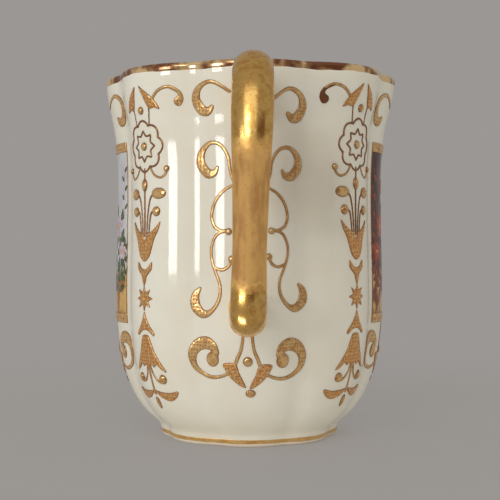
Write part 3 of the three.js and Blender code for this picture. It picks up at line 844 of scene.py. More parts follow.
def flower_line(centre, radius_at, half):
    """A closed fine line whose distance from a centre follows a formula."""
    turn = np.linspace(0, 2 * math.pi, 193)
    path = np.array(centre) + radius_at(turn)[:, None] * np.stack([np.sin(turn), np.cos(turn)], -1)

    def field(x, y):
        distance = nearest_on(path, x, y)[0].min(-1)
        return half - distance, LINE_LIFT * dome(distance / half), False

    return Mark(field, path, fine=1)


def mirrored(route):
    return [(-x, *rest) for x, *rest in route]


def both(route):
    """An outline given for its right half, from top to bottom, completed on the left."""
    return [*route, *[(-x, y) for x, y in reversed(route) if x]]


print("an outline of 3 points is completed to", len(both([(0, 2), (1, 1), (0, 0)])), "points")

# %% [markdown]
# ## Punch marks and the drawing's field
#
# The gilder strikes the fat parts with a blunt needle, in rows that are never quite even. A texture could
# fake the dents, but they catch the light as shapes, so they are pressed into the mesh: a square pattern
# whose every dent is jittered by a seeded draw. The marks of a drawing are then put together.

# %% Punch and field
PUNCH_PITCH = 0.62
PUNCH_RADIUS = 0.2
PUNCH_JITTER = 0.22
PUNCH_TABLE = 64
# how far the brown at an outline reaches, wider at a bead's rim, and how brown fine lines are: partly
# outline, partly painted shade
LINE_EDGE_SHADE = 0.1
BEAD_RIM_SHADE = 0.16
FINE_LINE_SHADE = 0.75
FAR_OUTSIDE = -9.0


def punch_marks(x, y, seed=7):
    """How far each point lies in a dent of a jittered pattern, from 0 to 1."""
    draws = np.random.default_rng(seed)
    spots = draws.uniform(-PUNCH_JITTER, PUNCH_JITTER, (PUNCH_TABLE, PUNCH_TABLE, 2))
    column, row = np.floor(x / PUNCH_PITCH).astype(int), np.floor(y / PUNCH_PITCH).astype(int)
    struck = np.zeros(x.shape)
    for i in (-1, 0, 1):
        for j in (-1, 0, 1):
            jitter = spots[(column + i) % PUNCH_TABLE, (row + j) % PUNCH_TABLE]
            across = x - (column + i + 0.5 + jitter[..., 0]) * PUNCH_PITCH
            up = y - (row + j + 0.5 + jitter[..., 1]) * PUNCH_PITCH
            struck = np.maximum(struck, np.exp(-(across**2 + up**2) / PUNCH_RADIUS**2 * 2))
    return struck


def drawn_field(marks, x, y):
    """Depth, height, brownness of the edge (partly painted shade), punch strength and leafiness of all the
    marks together.
    """
    depth = np.full(x.shape, FAR_OUTSIDE)
    height, struck, leafy, fine = (np.zeros(x.shape) for _ in range(4))
    for mark in marks:
        inside, lift, tooled = mark.field(x, y)
        deeper = inside > depth
        struck = np.where(deeper, tooled, struck)
        leafy = np.where(deeper, mark.leafy, leafy)
        fine = np.where(deeper, mark.fine, fine)
        depth = np.maximum(depth, inside)
        height = np.maximum(height, np.where(inside > 0, lift, 0))
    # painted shade: brown fades in from each outline, and fine lines are browned almost all over
    fade = np.exp(-np.clip(depth, 0, None) / np.where(leafy < 0, BEAD_RIM_SHADE, LINE_EDGE_SHADE))
    edge = np.maximum(fade, FINE_LINE_SHADE * fine)
    return depth, height, edge, struck * punch_marks(x, y) * smoothstep(depth, 0.08, 0.3), leafy


print("punch marks every", PUNCH_PITCH, "mm")

# %% [markdown]
# ## From drawing to relief
#
# A grid is laid over each drawing. Cells wholly inside become faces; cells that the outline crosses are
# cut along it, so edges are crisp at any grid. A Boolean or a remesh would be slower and leave ragged
# edges. The sheet then gets an underside just below the glaze, which makes each motif a closed body.

# %% Relief from marks
GRID = 0.14
MARGIN = 1.2
SINK = 0.05
PUNCH_DEPTH = 0.05
CUT_LIMITS = (0.1, 0.9)


def relief(marks):
    """A drawing as points (x, y, height, edge, dent, leaf), faces, and where the outline's points start."""
    corners = np.vstack([mark.corners for mark in marks])
    low, high = corners.min(0) - MARGIN, corners.max(0) + MARGIN
    x, y = np.meshgrid(*(np.arange(low[k], high[k], GRID) for k in (0, 1)))
    depth, height, edge, struck, leafy = drawn_field(marks, x, y)
    inside = depth > 0
    number = np.cumsum(inside).reshape(inside.shape) - 1
    points = np.stack([x, y, height - PUNCH_DEPTH * struck, edge, struck, leafy], -1)[inside].tolist()
    on_outline, faces, cuts = len(points), [], {}

    def cut(a, b):
        key = (min(a, b), max(a, b))
        if key not in cuts:
            share = np.clip(depth[a] / (depth[a] - depth[b]), *CUT_LIMITS)
            cuts[key] = len(points)
            spot = [values[a] + share * (values[b] - values[a]) for values in (x, y)]
            points.append([*spot, 0.0, 1.0, 0.0, leafy[a]])
        return cuts[key]

    touched = inside[:-1, :-1] | inside[:-1, 1:] | inside[1:, :-1] | inside[1:, 1:]
    for j, i in np.argwhere(touched):
        loop = [(j, i), (j, i + 1), (j + 1, i + 1), (j + 1, i)]
        face = []
        for a, b in zip(loop, loop[1:] + loop[:1]):
            if inside[a]:
                face.append(int(number[a]))
            if inside[a] != inside[b]:
                face.append(cut(a, b))
        faces.append(face)
    return np.array(points), faces, on_outline


def close_underneath(points, faces, on_outline):
    """Adds the underside: it shares the outline's points, and its own lie below the glaze."""
    top, under = points.copy(), points[:on_outline].copy()
    under[:, 2] = -SINK
    top[on_outline:, 2] = -DIVE
    lower = [[k + len(top) if k < on_outline else k for k in reversed(face)] for face in faces]
    return np.vstack([top, under]), faces + lower


print("relief maker ready, grid", GRID, "mm")

# %% [markdown]
# ## Laying a drawing on the cup
#
# The finished sheet is bent onto the lobed wall by the same formula that made the wall; a Shrinkwrap
# would thin the paste in the grooves. No gilder repeats a motif exactly, so a drawing can be laid a
# little wider, taller, higher or to one side. The edge, dent and leaf numbers go along with the mesh.

# %% Lay a drawing
SHEET_LOBE = 19.4
SIDES = (("left", -1), ("right", 1))


def by_hand(widen=1.0, stretch=1.0, shift=0.0, middle=38.0, across=0.0):
    """A way onto the wall for a motif that was drawn a little wider, taller, higher or to one side."""
    return lambda x, y: ((widen * x + across) / SHEET_LOBE * PITCH, middle + stretch * (y - middle) + shift)


AS_DRAWN = by_hand()


def lay(name, drawing, axis_angle, node=None, side=1, material=tooled_gold, place=AS_DRAWN):
    """Bends a drawing onto the wall round an axis; side -1 lays its mirror image."""
    points, faces = close_underneath(*drawing)
    turn, z = place(side * points[:, 0], points[:, 1])
    faces = faces if side > 0 else [face[::-1] for face in faces]
    piece = new_piece(name, wall(axis_angle + turn, z, points[:, 2]), faces, material, node)
    tints = np.column_stack([points[:, 3:], np.ones(len(points))])
    gilding = piece.data.attributes.new("gilding", "FLOAT_COLOR", "POINT")
    gilding.data.foreach_set("color", tints.astype(np.float32).ravel())
    return piece


print(f"{SHEET_LOBE} mm of drawing cover one lobe")

# %% [markdown]
# ## The scrolls behind the handle
#
# Behind the handle lies a cartouche of crooks, bows and tails with small beads where they meet. It is a
# mirror pair, so it is drawn once, for the right side, and laid twice. The scrolls start thin and end in
# a fat, struck club, which is how a loaded brush leaves the surface.

# %% Draw and lay the cartouche
CROOK = [(2.6, 45.2, 0.25), (3.4, 47.6, 0.28), (3.8, 50.0, 0.3), (5.2, 52.0, 0.33), (7.2, 52.3, 0.4),
         (8.8, 50.8, 0.7), (8.9, 48.9, 0.9), (7.6, 47.4, 0.85), (6.3, 47.4, 0.6), (5.7, 48.3, 0.3)]
UPPER_BOW = [(2.5, 45.5, 0.25), (4.6, 44.4, 0.28), (6.2, 42.5, 0.3), (6.8, 40.3, 0.3), (6.2, 38.5, 0.3),
             (4.6, 37.7, 0.28)]
LOWER_BOW = [(4.3, 37.9, 0.28), (5.9, 37.1, 0.28), (6.8, 35.2, 0.28), (6.8, 33.4, 0.28), (6.1, 31.2, 0.28),
             (5.2, 28.9, 0.28), (5.4, 26.5, 0.33), (6.8, 24.6, 0.42), (8.5, 24.1, 0.75), (9.9, 25.3, 0.95),
             (10, 27.1, 0.75), (9.1, 28.3, 0.3)]
HOOK = [(6.3, 31.9, 0.25), (5.0, 31.4, 0.28), (3.9, 31.8, 0.28), (3.3, 32.7, 0.28)]
BOW_BEADS = [(3.7, 37.7), (3.2, 33.2)]
BOW_BEAD = 0.6
CARTOUCHE_HAND = {-1: by_hand(1.0, 1.02, -0.1), 1: by_hand(0.94, 0.955)}

cartouche_lines = [stroke(route) for route in (CROOK, UPPER_BOW, LOWER_BOW, HOOK)]
cartouche = relief([*cartouche_lines, *(bead(spot, BOW_BEAD) for spot in BOW_BEADS)])
for where, side in SIDES:
    lay(f"gilt_cartouche_{where}", cartouche, 0.0, f"cartouche_{where}", side, place=CARTOUCHE_HAND[side])
print("cartouche of", len(cartouche[1]), "faces a side")

# %% [markdown]
# ## Curls and fleurs
#
# A pair of curls sits under the rim over each panel and over the handle, and a fleur below: two scrolls
# that roll into a ball, a pair of leaves, a bead between two stems and a drop underneath. Each is one
# drawing laid eight times. Over the handle the curls start clear of the rod.

# %% Draw the curls and fleurs
CURL = [(6.3, 62.0, 0.33), (8.6, 61.3, 0.5), (9.5, 59.5, 0.8), (8.8, 57.8, 0.95), (7.5, 57.2, 0.75),
        (6.6, 57.9, 0.45)]
CURL_START = (2.7, 60.3, 0.28)
HANDLE_EDGE = max(HALF_WIDTHS.values()) + 0.3
HANDLE_TOP = UPPER_SEAT + 6.5
FLEUR_SCROLL = [(3.0, 14.0, 0.3), (5.0, 13.2, 0.3), (7.0, 13.0, 0.35), (9.1, 13.7, 0.42), (10.5, 15.0, 0.6),
                (10.75, 16.9, 0.88), (9.6, 18.4, 1.1), (7.9, 18.85, 1.12), (6.5, 18.3, 0.9), (5.9, 17.2, 0.7)]
FLEUR_BALL = (6.6, 16.1)
FLEUR_LEAF = [(4.6, 15.3), (3.2, 15.6), (2.0, 15.2), (1.5, 13.8), (0.7, 12.3), (0.35, 11.3), (1.4, 11.6),
              (2.8, 12.6), (4.0, 14.0)]
FLEUR_STEM = [(0.75, 20.9, 0.28), (0.9, 19.4, 0.29), (1.2, 17.8, 0.31), (1.9, 16.2, 0.35), (2.4, 15.0, 0.36)]
FLEUR_MIDDLE = -0.5
FLEUR_BEAD = (FLEUR_MIDDLE, 15.8)
FLEUR_DROP = (0, 10.3)

fleur = relief([stroke(FLEUR_SCROLL), bead(FLEUR_BALL, 1.3, lift=0.3), plate(FLEUR_LEAF), stroke(FLEUR_STEM)])
fleur_beads = relief([bead(FLEUR_BEAD, 0.85), bead(FLEUR_DROP, 0.95, 0.7, lift=0.3)])


def curl(lobe, side):
    """A curl under the rim; beside the handle it starts at the edge of the leaning rod."""
    lean = HANDLE_OFFSET + (HANDLE_TOP - LEAN_FROM) * LEAN
    start = HANDLE_EDGE + side * lean if lobe == "handle" else CURL_START[0]
    return relief([stroke([(start, *CURL_START[1:]), *CURL])])


print("fleur of", len(fleur[1]), "faces a side")

# %% Lay the curls and fleurs
FLEUR_LOBES = {"handle": 0, "right": 2, "far": 4, "left": 6}
CURL_HAND = {-1: by_hand(shift=0.6), 1: by_hand(0.96, shift=-0.6)}
SIDE_CURL_HAND = by_hand(shift=0.5)
FLEUR_HAND = {-1: by_hand(0.957, across=FLEUR_MIDDLE), 1: by_hand(0.937, shift=-0.2, across=FLEUR_MIDDLE)}

for lobe, number in FLEUR_LOBES.items():
    for where, side in SIDES:
        hand = CURL_HAND[side] if lobe == "handle" else SIDE_CURL_HAND
        ends = f"{lobe}_{where}"
        lay(f"gilt_curl_{ends}", curl(lobe, side), number * PITCH, f"top_curl_{ends}", side, place=hand)
        lay(f"gilt_fleur_{ends}", fleur, number * PITCH, f"fleur_{ends}", side, place=FLEUR_HAND[side])
    lay(f"gilt_fleur_bead_{lobe}", fleur_beads, number * PITCH, f"fleur_bead_{lobe}")
print("curls and fleurs on", len(FLEUR_LOBES), "lobes")

# %% [markdown]
# ## The pendants, upper half
#
# Between the panels hang four pendants. Their upper half is a pair of leaves with an arch on one side, a
# rosette drawn in fine lines, and a sprig of buds over a tulip. Petals come from a wave round a circle,
# and the rest from outlines of the right half. One arch's end is browned as a painted dark reflection,
# so the same drawing is made once more with that end browned.

# %% Draw the upper half
ROSETTE = (0, 52.5)
PETALS = 8
CROWN_LEAF = [(0.5, 62.8), (1.6, 62.0), (2.9, 60.9), (3.9, 59.6), (4.3, 58.6), (3.2, 58.9), (2.2, 58.8),
              (1.6, 59.6), (1.1, 61.0)]
LEAF_STEM = [(2.1, 59.0, 0.15), (1.9, 57.6, 0.15), (1.75, 56.2, 0.15)]
ARCH = [(3.0, 60.3, 0.25), (4.6, 61.7, 0.28), (6.5, 62.2, 0.28), (8.0, 61.4, 0.33), (8.3, 60.4, 0.5),
        (7.8, 59.7, 0.75)]
SIDE_CURL = [(1.6, 48.7, 0.2), (2.5, 47.5, 0.22), (3.8, 47.0, 0.22), (4.8, 47.5, 0.25), (5.1, 48.3, 0.25)]
UPPER_STEM = [(2.4, 44.3, 0.22), (1.6, 43.6, 0.21), (1.1, 42.2, 0.2), (0.75, 40.0, 0.19), (0.55, 37.4, 0.19)]
LOWER_STEM = [(2.4, 41.3, 0.22), (1.7, 40.9, 0.21), (1.4, 39.8, 0.2), (1.2, 38.4, 0.19), (1.1, 37.2, 0.19)]
MAIN_STEM = [(0, 48.6, 0.2), (0, 47.0, 0.2), (0, 44.0, 0.21), (0, 40, 0.24), (0, 37.0, 0.22)]
TULIP = [(0, 36.1), (0.5, 37.3), (1.6, 37.7), (2.7, 38.5), (3.8, 39.5), (3.4, 38.0), (2.5, 36.4), (2.0, 35.0),
         (1.4, 33.5), (0.6, 32.7), (0, 32.5)]
CROWN_BEAD = (0, 58.65)
MIDDLE_BUD = (0, 45.8)
SIDE_BUDS = {(5.1, 48.5): (0.58,), (3.4, 44.3): (1.6, 1.0, 0.25), (2.9, 41.2): (0.88,)}
PETAL_LINE = 0.2
STARBURST_LINE = 0.18
PAINTED_DARK_REFLECTION = 1.25


def petal_wave(turn):
    return 3.75 + 0.65 * np.abs(np.cos(PETALS / 2 * turn))


def starburst_wave(turn):
    return 2.65 - 0.75 * np.abs(np.sin(PETALS / 2 * turn))


def spray_marks(worn=False):
    """The upper half of a pendant; with worn set, the arch's end is browned as a painted dark reflection."""
    arch_end = stroke(ARCH[2:])
    # painted dark reflection: the arch's end is browned when worn is set
    arch_end.fine = PAINTED_DARK_REFLECTION if worn else 0
    marks = [arch_end, flower_line(ROSETTE, petal_wave, PETAL_LINE), bead(CROWN_BEAD, 0.7), stroke(MAIN_STEM),
             bead(MIDDLE_BUD, 0.75, 1.1), stroke(ARCH), plate(both(TULIP))]
    for flip in (list, mirrored):
        marks.append(plate(flip(CROWN_LEAF)))
        marks += [stroke(flip(route)) for route in (LEAF_STEM, SIDE_CURL, UPPER_STEM, LOWER_STEM)]
    for side in (-1, 1):
        marks += [bead((side * x, y), *size) for (x, y), size in SIDE_BUDS.items()]
    return marks


spray, spray_dark_reflection = relief(spray_marks()), relief(spray_marks(worn=True))
print("upper half of", len(spray[1]), "faces")

# %% [markdown]
# ## The pendants, lower half
#
# Below the tulip hang an arrow, a star, a spade and a bellflower with a sprig. They are separate touches
# of paste, so each is a piece of its own. The four pendants are then hung on the four lobes between the
# panels, the arch always towards the handle or its opposite.

# %% Draw the lower half
ARROW = [(0, 31.2), (0.8, 31.4), (1.9, 32.5), (2.0, 31.4), (1.55, 30.7), (0.75, 30.0), (0.45, 29.1),
         (0, 28.2)]
STAR = (0, 26.1)
STAR_POINTS = 8
STAR_RADII = (2.35, 1.2)
SPADE = [(0, 23.8), (0.55, 22.6), (1.4, 21.3), (2.4, 20.1), (2.1, 19.6), (1.1, 20.3), (0, 20.6)]
BELL = [(0, 19.8), (0.9, 19.6), (1.4, 18.5), (2.1, 16.8), (3.1, 15.2), (4.3, 13.4), (3.0, 13.9), (2.2, 14.6),
        (1.5, 14.1), (0.8, 14.5), (0, 14.0)]
BELL_STEM = [(0, 14.3, 0.3), (0, 11.5, 0.26), (0, 9.4, 0.3)]
BELL_CURL = [(0.5, 14.2, 0.22), (0.9, 12.9, 0.22), (1.8, 11.8, 0.25), (2.8, 11.5, 0.3)]
BELL_DROP = (0, 7.7)
BELL_BUD = (3.15, 12.1)
SPRIG_LEAF = [(0.2, 9.95), (1.9, 9.8), (4.0, 9.75), (6.0, 10.1), (5.3, 8.9), (3.6, 8.2), (1.5, 8.8)]


def star_outline():
    turn = around(2 * STAR_POINTS)
    radius = np.tile(STAR_RADII, STAR_POINTS)
    return np.stack([STAR[0] + radius * np.sin(turn), STAR[1] + radius * np.cos(turn)], -1)


def bellflower_marks():
    marks = [plate(both(BELL)), stroke(BELL_STEM), bead(BELL_DROP, 0.6, 1.15, 0.25)]
    for flip, side in ((list, 1), (mirrored, -1)):
        bud = bead((side * BELL_BUD[0], BELL_BUD[1]), 0.85)
        marks += [stroke(flip(BELL_CURL)), bud, plate(flip(SPRIG_LEAF))]
    return marks


PENDANT = {
    "spray": spray,
    "rosette_star": relief([flower_line(ROSETTE, starburst_wave, STARBURST_LINE), bead(ROSETTE, 0.75)]),
    "arrow": relief([plate(both(ARROW))]),
    "star": relief([plate(star_outline(), rounded=False), bead(STAR, 0.5, lift=0.3)]),
    "spade": relief([plate(both(SPADE))]),
    "bellflower": relief(bellflower_marks()),
}
print("pendants of", sum(len(drawing[1]) for drawing in PENDANT.values()), "faces each")

# %% Hang the pendants
PENDANT_LOBES = {"near_right": (1, -1), "far_right": (3, 1), "far_left": (5, -1), "near_left": (7, 1)}
PENDANT_SHIFT = 0.75
PENDANT_TURN = {"near_right": 1.15, "near_left": -0.7}
PENDANT_RISE = {"near_right": 0.35}

for where, (number, arch_side) in PENDANT_LOBES.items():
    angle = number * PITCH - arch_side * PENDANT_SHIFT / WAIST[0] + math.radians(PENDANT_TURN.get(where, 0))
    hand = by_hand(shift=PENDANT_RISE.get(where, 0))
    for motif, drawing in PENDANT.items():
        # the near right pendant's arch end carries the painted dark reflection
        drawing = spray_dark_reflection if (motif, where) == ("spray", "near_right") else drawing
        lay(f"gilt_{motif}_{where}", drawing, angle, f"{motif}_{where}", arch_side, place=hand)
print("pendants on", len(PENDANT_LOBES), "lobes")

# %% [markdown]
# ## Enamel
#
# The panels are painted in overglaze enamels: glassy colours that melt at a low heat and stand a hair
# above the glaze. Brush marks show as streaks of a lighter and a darker tone. One function makes every
# colour; a ground may also have a foot, an earthy tone that it turns into near the panel's lower edge.

# %% Enamel finish
FRAME_LOW, FRAME_HIGH = (corner[2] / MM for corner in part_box("panel_frame_far"))
PANEL_LOW, PANEL_HIGH = (corner[2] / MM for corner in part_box("panel_picture_far"))
FOOT_FROM, FOOT_TO = ((PANEL_LOW + rise) * MM for rise in (6, 9))
OCHRE = colour(214, 170, 96)
ENAMEL_ROUGHNESS = (0.12, 0.22)
STROKE_DEPTH = 0.02


def enamel_finish(name, light, dark, size_mm, foot=None):
    material, tree, shader = new_material(name)
    strokes = place_noise(tree, size_mm, detail=5, stretch=(1, 1, 0.6))
    paint = mix_colour(tree, between(tree, strokes, *NOISE_SPAN), light, dark)
    if foot:
        above = between(tree, height_above_table(tree), FOOT_FROM, FOOT_TO)
        earth = mix_colour(tree, between(tree, strokes, 0.4, 0.6), foot, OCHRE)
        paint = mix_colour(tree, above, earth, paint)
    gloss = between(tree, strokes, *NOISE_SPAN, *ENAMEL_ROUGHNESS)
    dress(tree, shader, {"Base Color": paint, "Roughness": gloss})
    bump(tree, shader, strokes, STROKE_DEPTH)
    return material


pale_ground = enamel_finish("pale_ground", colour(206, 210, 208), colour(194, 190, 196), 3.0,
                            foot=colour(150, 100, 48))
deep_ground = enamel_finish("deep_ground", colour(98, 62, 50), colour(58, 36, 34), 2.0,
                            foot=colour(120, 62, 44))
print("made", pale_ground.name, deep_ground.name)

# %% [markdown]
# ## The panels
#
# Three lobes carry an upright panel in a gilt frame, struck along its top and bottom. A plane could be
# bent there, but frame and ground are drawn as marks too, so that they follow the lobes as the other
# ornament does. Two panels have a pale ground and one a deep one.

# %% Panel grounds and frames
PANEL_HALF_WIDTH = 8.35
FRAME_SIDE = 0.22
FRAME_BORDER = 0.4
GROUND_LIFT = 0.03
PANEL_LOBES = {"right": 2, "far": 4, "left": 6}
GROUNDS = {"right": deep_ground, "far": pale_ground, "left": pale_ground}


def on_panel(x, z):
    return x / WAIST[0], z


def rectangle(half_width, low, high):
    """Depth inside an upright rectangle."""
    middle, half_height = (low + high) / 2, (high - low) / 2
    return lambda x, y: np.minimum(half_width - np.abs(x), half_height - np.abs(y - middle))


def frame_mark():
    reach = PANEL_HALF_WIDTH + FRAME_SIDE
    outer = rectangle(reach, FRAME_LOW, FRAME_HIGH)
    inner = rectangle(PANEL_HALF_WIDTH, PANEL_LOW - 0.2, PANEL_HIGH + 0.2)

    def field(x, y):
        depth = np.minimum(outer(x, y), -inner(x, y))
        return depth, bevelled(depth, PLATE_LIFT), depth > FRAME_BORDER

    return Mark(field, np.array([(-reach, FRAME_LOW), (reach, FRAME_HIGH)]))


def ground_mark():
    inside = rectangle(PANEL_HALF_WIDTH + 0.1, PANEL_LOW - 0.3, PANEL_HIGH + 0.3)
    corners = np.array([(-PANEL_HALF_WIDTH, PANEL_LOW), (PANEL_HALF_WIDTH, PANEL_HIGH)])
    return Mark(lambda x, y: (inside(x, y), GROUND_LIFT, False), corners)


frame_relief, ground_relief = relief([frame_mark()]), relief([ground_mark()])
for where, number in PANEL_LOBES.items():
    lay(f"gilt_frame_{where}", frame_relief, number * PITCH, f"panel_frame_{where}", place=on_panel)
    lay(f"enamel_ground_{where}", ground_relief, number * PITCH, f"panel_picture_{where}",
        material=GROUNDS[where], place=on_panel)
print("panels and frames on", len(PANEL_LOBES), "lobes")

# %% [markdown]
# ## A bouquet in enamel
#
# The painting is made of the same marks as the gilding, only thinner: leaves that fan out from the foot
# of the panel, a thicket low at both sides, blossoms of five petals, and sprigs of berries that climb the
# edges. Leaves, petals and hearts are separate thin layers, as a painter works, so each has its own
# colour without any image.

# %% Leaves of the bouquet
PAINT_LIFT = 0.06
BOUQUET_FOOT = PANEL_LOW + 3.5
BOUQUET_HALF_WIDTH = 7.4
LEAF_RINGS = (2.0, 5.0, 8.0, 11.0, 14.0)
LEAF_FAN = 1.45
LEAF_STAGGER = 0.08
LEAF_SIZE = (2.9, 0.72)
LEAF_CLEAR = 0.15


def painted_leaf(base, direction, length, swell):
    along = np.array([math.sin(direction), math.cos(direction)])
    across = np.array([along[1], -along[0]])
    middle = np.array(base) + along * length * 0.45
    return plate([base, middle + across * swell, base + along * length, middle - across * swell], PAINT_LIFT)


def bouquet_leaves():
    """Rings of leaves round the bouquet's foot, each ring a little further out and turned half a leaf."""
    marks = []
    for ring, reach in enumerate(LEAF_RINGS):
        stagger = LEAF_STAGGER if ring % 2 else 0
        for direction in np.linspace(-LEAF_FAN, LEAF_FAN, 7 + 2 * ring) + stagger:
            across, up = reach * math.sin(direction), reach * math.cos(direction)
            squeeze = min(1.0, BOUQUET_HALF_WIDTH / max(abs(across), 0.1))
            base = (squeeze * across, BOUQUET_FOOT + up)
            marks.append(painted_leaf(base, 0.75 * direction, *LEAF_SIZE))
    limit = PANEL_HALF_WIDTH - LEAF_CLEAR
    return [mark for mark in marks if np.abs(mark.corners[:, 0]).max() < limit]


def climbing_leaves(heights, places, lean, length, swell):
    """Leaves in rows up both sides of the panel, leaning in and out by turns."""
    marks = []
    for k, z in enumerate(heights):
        for x in places:
            for side in (-1, 1):
                direction = side * (lean if k % 2 else -lean)
                marks.append(painted_leaf((side * x, z), direction, length, swell))
    return marks


print(len(bouquet_leaves()), "leaves fan out from the bouquet's foot")

# %% Blossoms, sprigs and painted layers
PETAL_LIFT = PAINT_LIFT * 1.8
HEART_LIFT = PAINT_LIFT * 3
THICKET_X = (4.6, 5.7, 6.8, 7.7)
SPRIG_X = 7.1
BERRY = 0.45
# across, height over the bouquet's foot, size of a petal
BLOSSOMS = [(0, 15.5, 1.5), (-4.3, 12.2, 1.2), (4.3, 12.2, 1.2), (-2.2, 19.6, 0.9), (2.2, 19.6, 0.9),
            (-6.3, 7.6, 1.0), (6.3, 7.6, 1.0)]


def blossoms_and_berries():
    marks = []
    for x, rise, petal in BLOSSOMS:
        for turn in around(5):
            spot = (x + petal * math.sin(turn), BOUQUET_FOOT + rise + petal * math.cos(turn))
            marks.append(bead(spot, 0.78 * petal, lift=PETAL_LIFT))
    for z in np.arange(PANEL_LOW + 18, PANEL_HIGH - 1.5, 3.4):
        marks += [bead((side * SPRIG_X, z), BERRY, lift=PETAL_LIFT) for side in (-1, 1)]
    return marks


thicket = climbing_leaves(np.arange(PANEL_LOW + 5.5, PANEL_LOW + 13.5, 1.15), THICKET_X, 0.5, 1.9, 0.5)
sprigs = climbing_leaves(np.arange(PANEL_LOW + 17, PANEL_HIGH - 2.5, 1.7), (SPRIG_X,), 0.8, 1.7, 0.42)
hearts = [bead((x, BOUQUET_FOOT + rise), 0.42 * petal, lift=HEART_LIFT) for x, rise, petal in BLOSSOMS]
PAINTED = {
    "leaves": relief(bouquet_leaves() + thicket + sprigs),
    "blossoms": relief(blossoms_and_berries()),
    "hearts": relief(hearts),
}
print("painted layers:", ", ".join(PAINTED))

# %% Paint the panels
ON_PALE = {
    "leaves": enamel_finish("green_enamel", colour(96, 106, 62), colour(38, 50, 30), 0.9),
    "blossoms": enamel_finish("lilac_enamel", colour(216, 200, 204), colour(178, 152, 170), 0.7),
    "hearts": enamel_finish("yellow_enamel", colour(222, 180, 96), colour(186, 130, 58), 0.4),
}
ON_DEEP = {
    "leaves": enamel_finish("russet_enamel", colour(150, 70, 46), colour(74, 34, 28), 0.9),
    "blossoms": enamel_finish("scarlet_enamel", colour(190, 84, 56), colour(140, 44, 34), 0.7),
    "hearts": ON_PALE["hearts"],
}
for where, number in PANEL_LOBES.items():
    paints = ON_DEEP if GROUNDS[where] is deep_ground else ON_PALE
    for layer, drawing in PAINTED.items():
        lay(f"enamel_{layer}_{where}", drawing, number * PITCH, material=paints[layer],
            place=on_panel)
print("bouquets on", len(PANEL_LOBES), "panels")

# %% [markdown]
# ## Floor
#
# The cup stands on a plain pale floor against an even grey. The floor takes the cup's soft shadow near
# the foot and fades into the background further out, so that no horizon shows. A curved backdrop would
# do the same in a studio; a disc whose shader turns into the background's own grey needs no room.

# %% Floor
BACKGROUND = colour(155, 151, 148)
FLOOR_RADIUS = 4.0
FLOOR_DROP = -0.02
FADE_FROM, FADE_TO = 0.03, 0.22
FADE_NEAR = 0.62


def seen_directly(tree):
    """1 for rays that a viewer or a mirror sends, 0 for light that bounces about."""
    path = add(tree, "ShaderNodeLightPath").outputs
    seen = maths(tree, "MAXIMUM", path["Is Camera Ray"], path["Is Glossy Ray"])
    return maths(tree, "MAXIMUM", seen, path["Is Transmission Ray"])


def blend(tree, share, first, second, output):
    """Sends a blend of two shaders to the output."""
    parts = {0: share, 1: first.outputs[0], 2: second.outputs[0]}
    mixed = numbered(tree, "ShaderNodeMixShader", None, 0, parts)
    dress(tree, tree.nodes[output], {"Surface": mixed})


def floor_finish():
    material, tree, shader = new_material("pale_floor")
    grain = mix_colour(tree, place_noise(tree, 40), colour(186, 182, 178), colour(194, 190, 186))
    pale = mix_colour(tree, seen_directly(tree), colour(248, 246, 242), grain)
    dress(tree, shader, {"Base Color": pale, "Roughness": 0.8, "Specular IOR Level": 0.1})
    away = add(tree, "ShaderNodeVectorMath", {"operation": "LENGTH"}, Vector=own_place(tree))
    fade = between(tree, away.outputs["Value"], FADE_FROM, FADE_TO, FADE_NEAR, 1.0)
    glow = add(tree, "ShaderNodeEmission", Color=BACKGROUND)
    blend(tree, maths(tree, "MULTIPLY", fade, seen_directly(tree)), shader, glow, "Material Output")
    return material


turn = around(96)
disc = np.stack([np.cos(turn), np.sin(turn), 0 * turn], -1) * FLOOR_RADIUS
floor = new_mesh("floor", disc, [tuple(range(len(disc)))], floor_finish())
floor.location.z = FLOOR_DROP * MM
print("floor", FLOOR_RADIUS, "m in radius")

# %% [markdown]
# ## The room
#
# Pale walls fill the shade with soft light, a little cooler from the left. Camera and mirror rays see the
# even grey of the background instead. An image of a real room could light the scene, but its furniture
# would show in the glaze.

# %% World
ROOM_AZIMUTH = -55
SHADE = 0.56
BRIGHT_SIDE = 0.44
WARM = (1.0, 0.96, 0.88, 1.0)
COOL = (0.97, 1.0, 1.04, 1.0)


def facing(azimuth):
    """A level direction: azimuth 0 points to the camera's side, and grows to the right."""
    angle = math.radians(azimuth)
    return np.array([math.sin(angle), -math.cos(angle), 0])


def towards(tree, azimuth):
    """How far a ray points to an azimuth, from -1 to 1."""
    ray = add(tree, "ShaderNodeTexCoord").outputs["Generated"]
    both_ways = {0: ray, 1: tuple(facing(azimuth))}
    return numbered(tree, "ShaderNodeVectorMath", {"operation": "DOT_PRODUCT"}, "Value", both_ways)


def studio_world():
    world = bpy.data.worlds.new("studio")
    world.use_nodes = True
    tree = world.node_tree
    room = tree.nodes["Background"]
    across = towards(tree, ROOM_AZIMUTH)
    tint = mix_colour(tree, between(tree, across, -1.0, 1.0), WARM, COOL)
    dress(tree, room, {"Color": tint, "Strength": between(tree, across, -1.0, 1.0, SHADE, BRIGHT_SIDE)})
    shown = add(tree, "ShaderNodeBackground", Color=BACKGROUND, Strength=1.0)
    blend(tree, seen_directly(tree), room, shown, "World Output")
    return world


bpy.context.scene.world = studio_world()
print("world", bpy.context.scene.world.name)

# %% [markdown]
# ## Lamps
#
# A window to the left of the camera draws the tall white streaks on the lobes, a soft box in front gives
# the handle its bright line, and a wide one overhead keeps the shade open. Area lamps are used because
# their edges show in the glaze as a window's would. Three small lamps light the handle alone, by light
# linking: spark and glint are the points of light on its heel, and edge_fill opens its dark side.

# %% Lamps
AIM = np.array([0.0, AXIS_Y, 36.0]) * MM
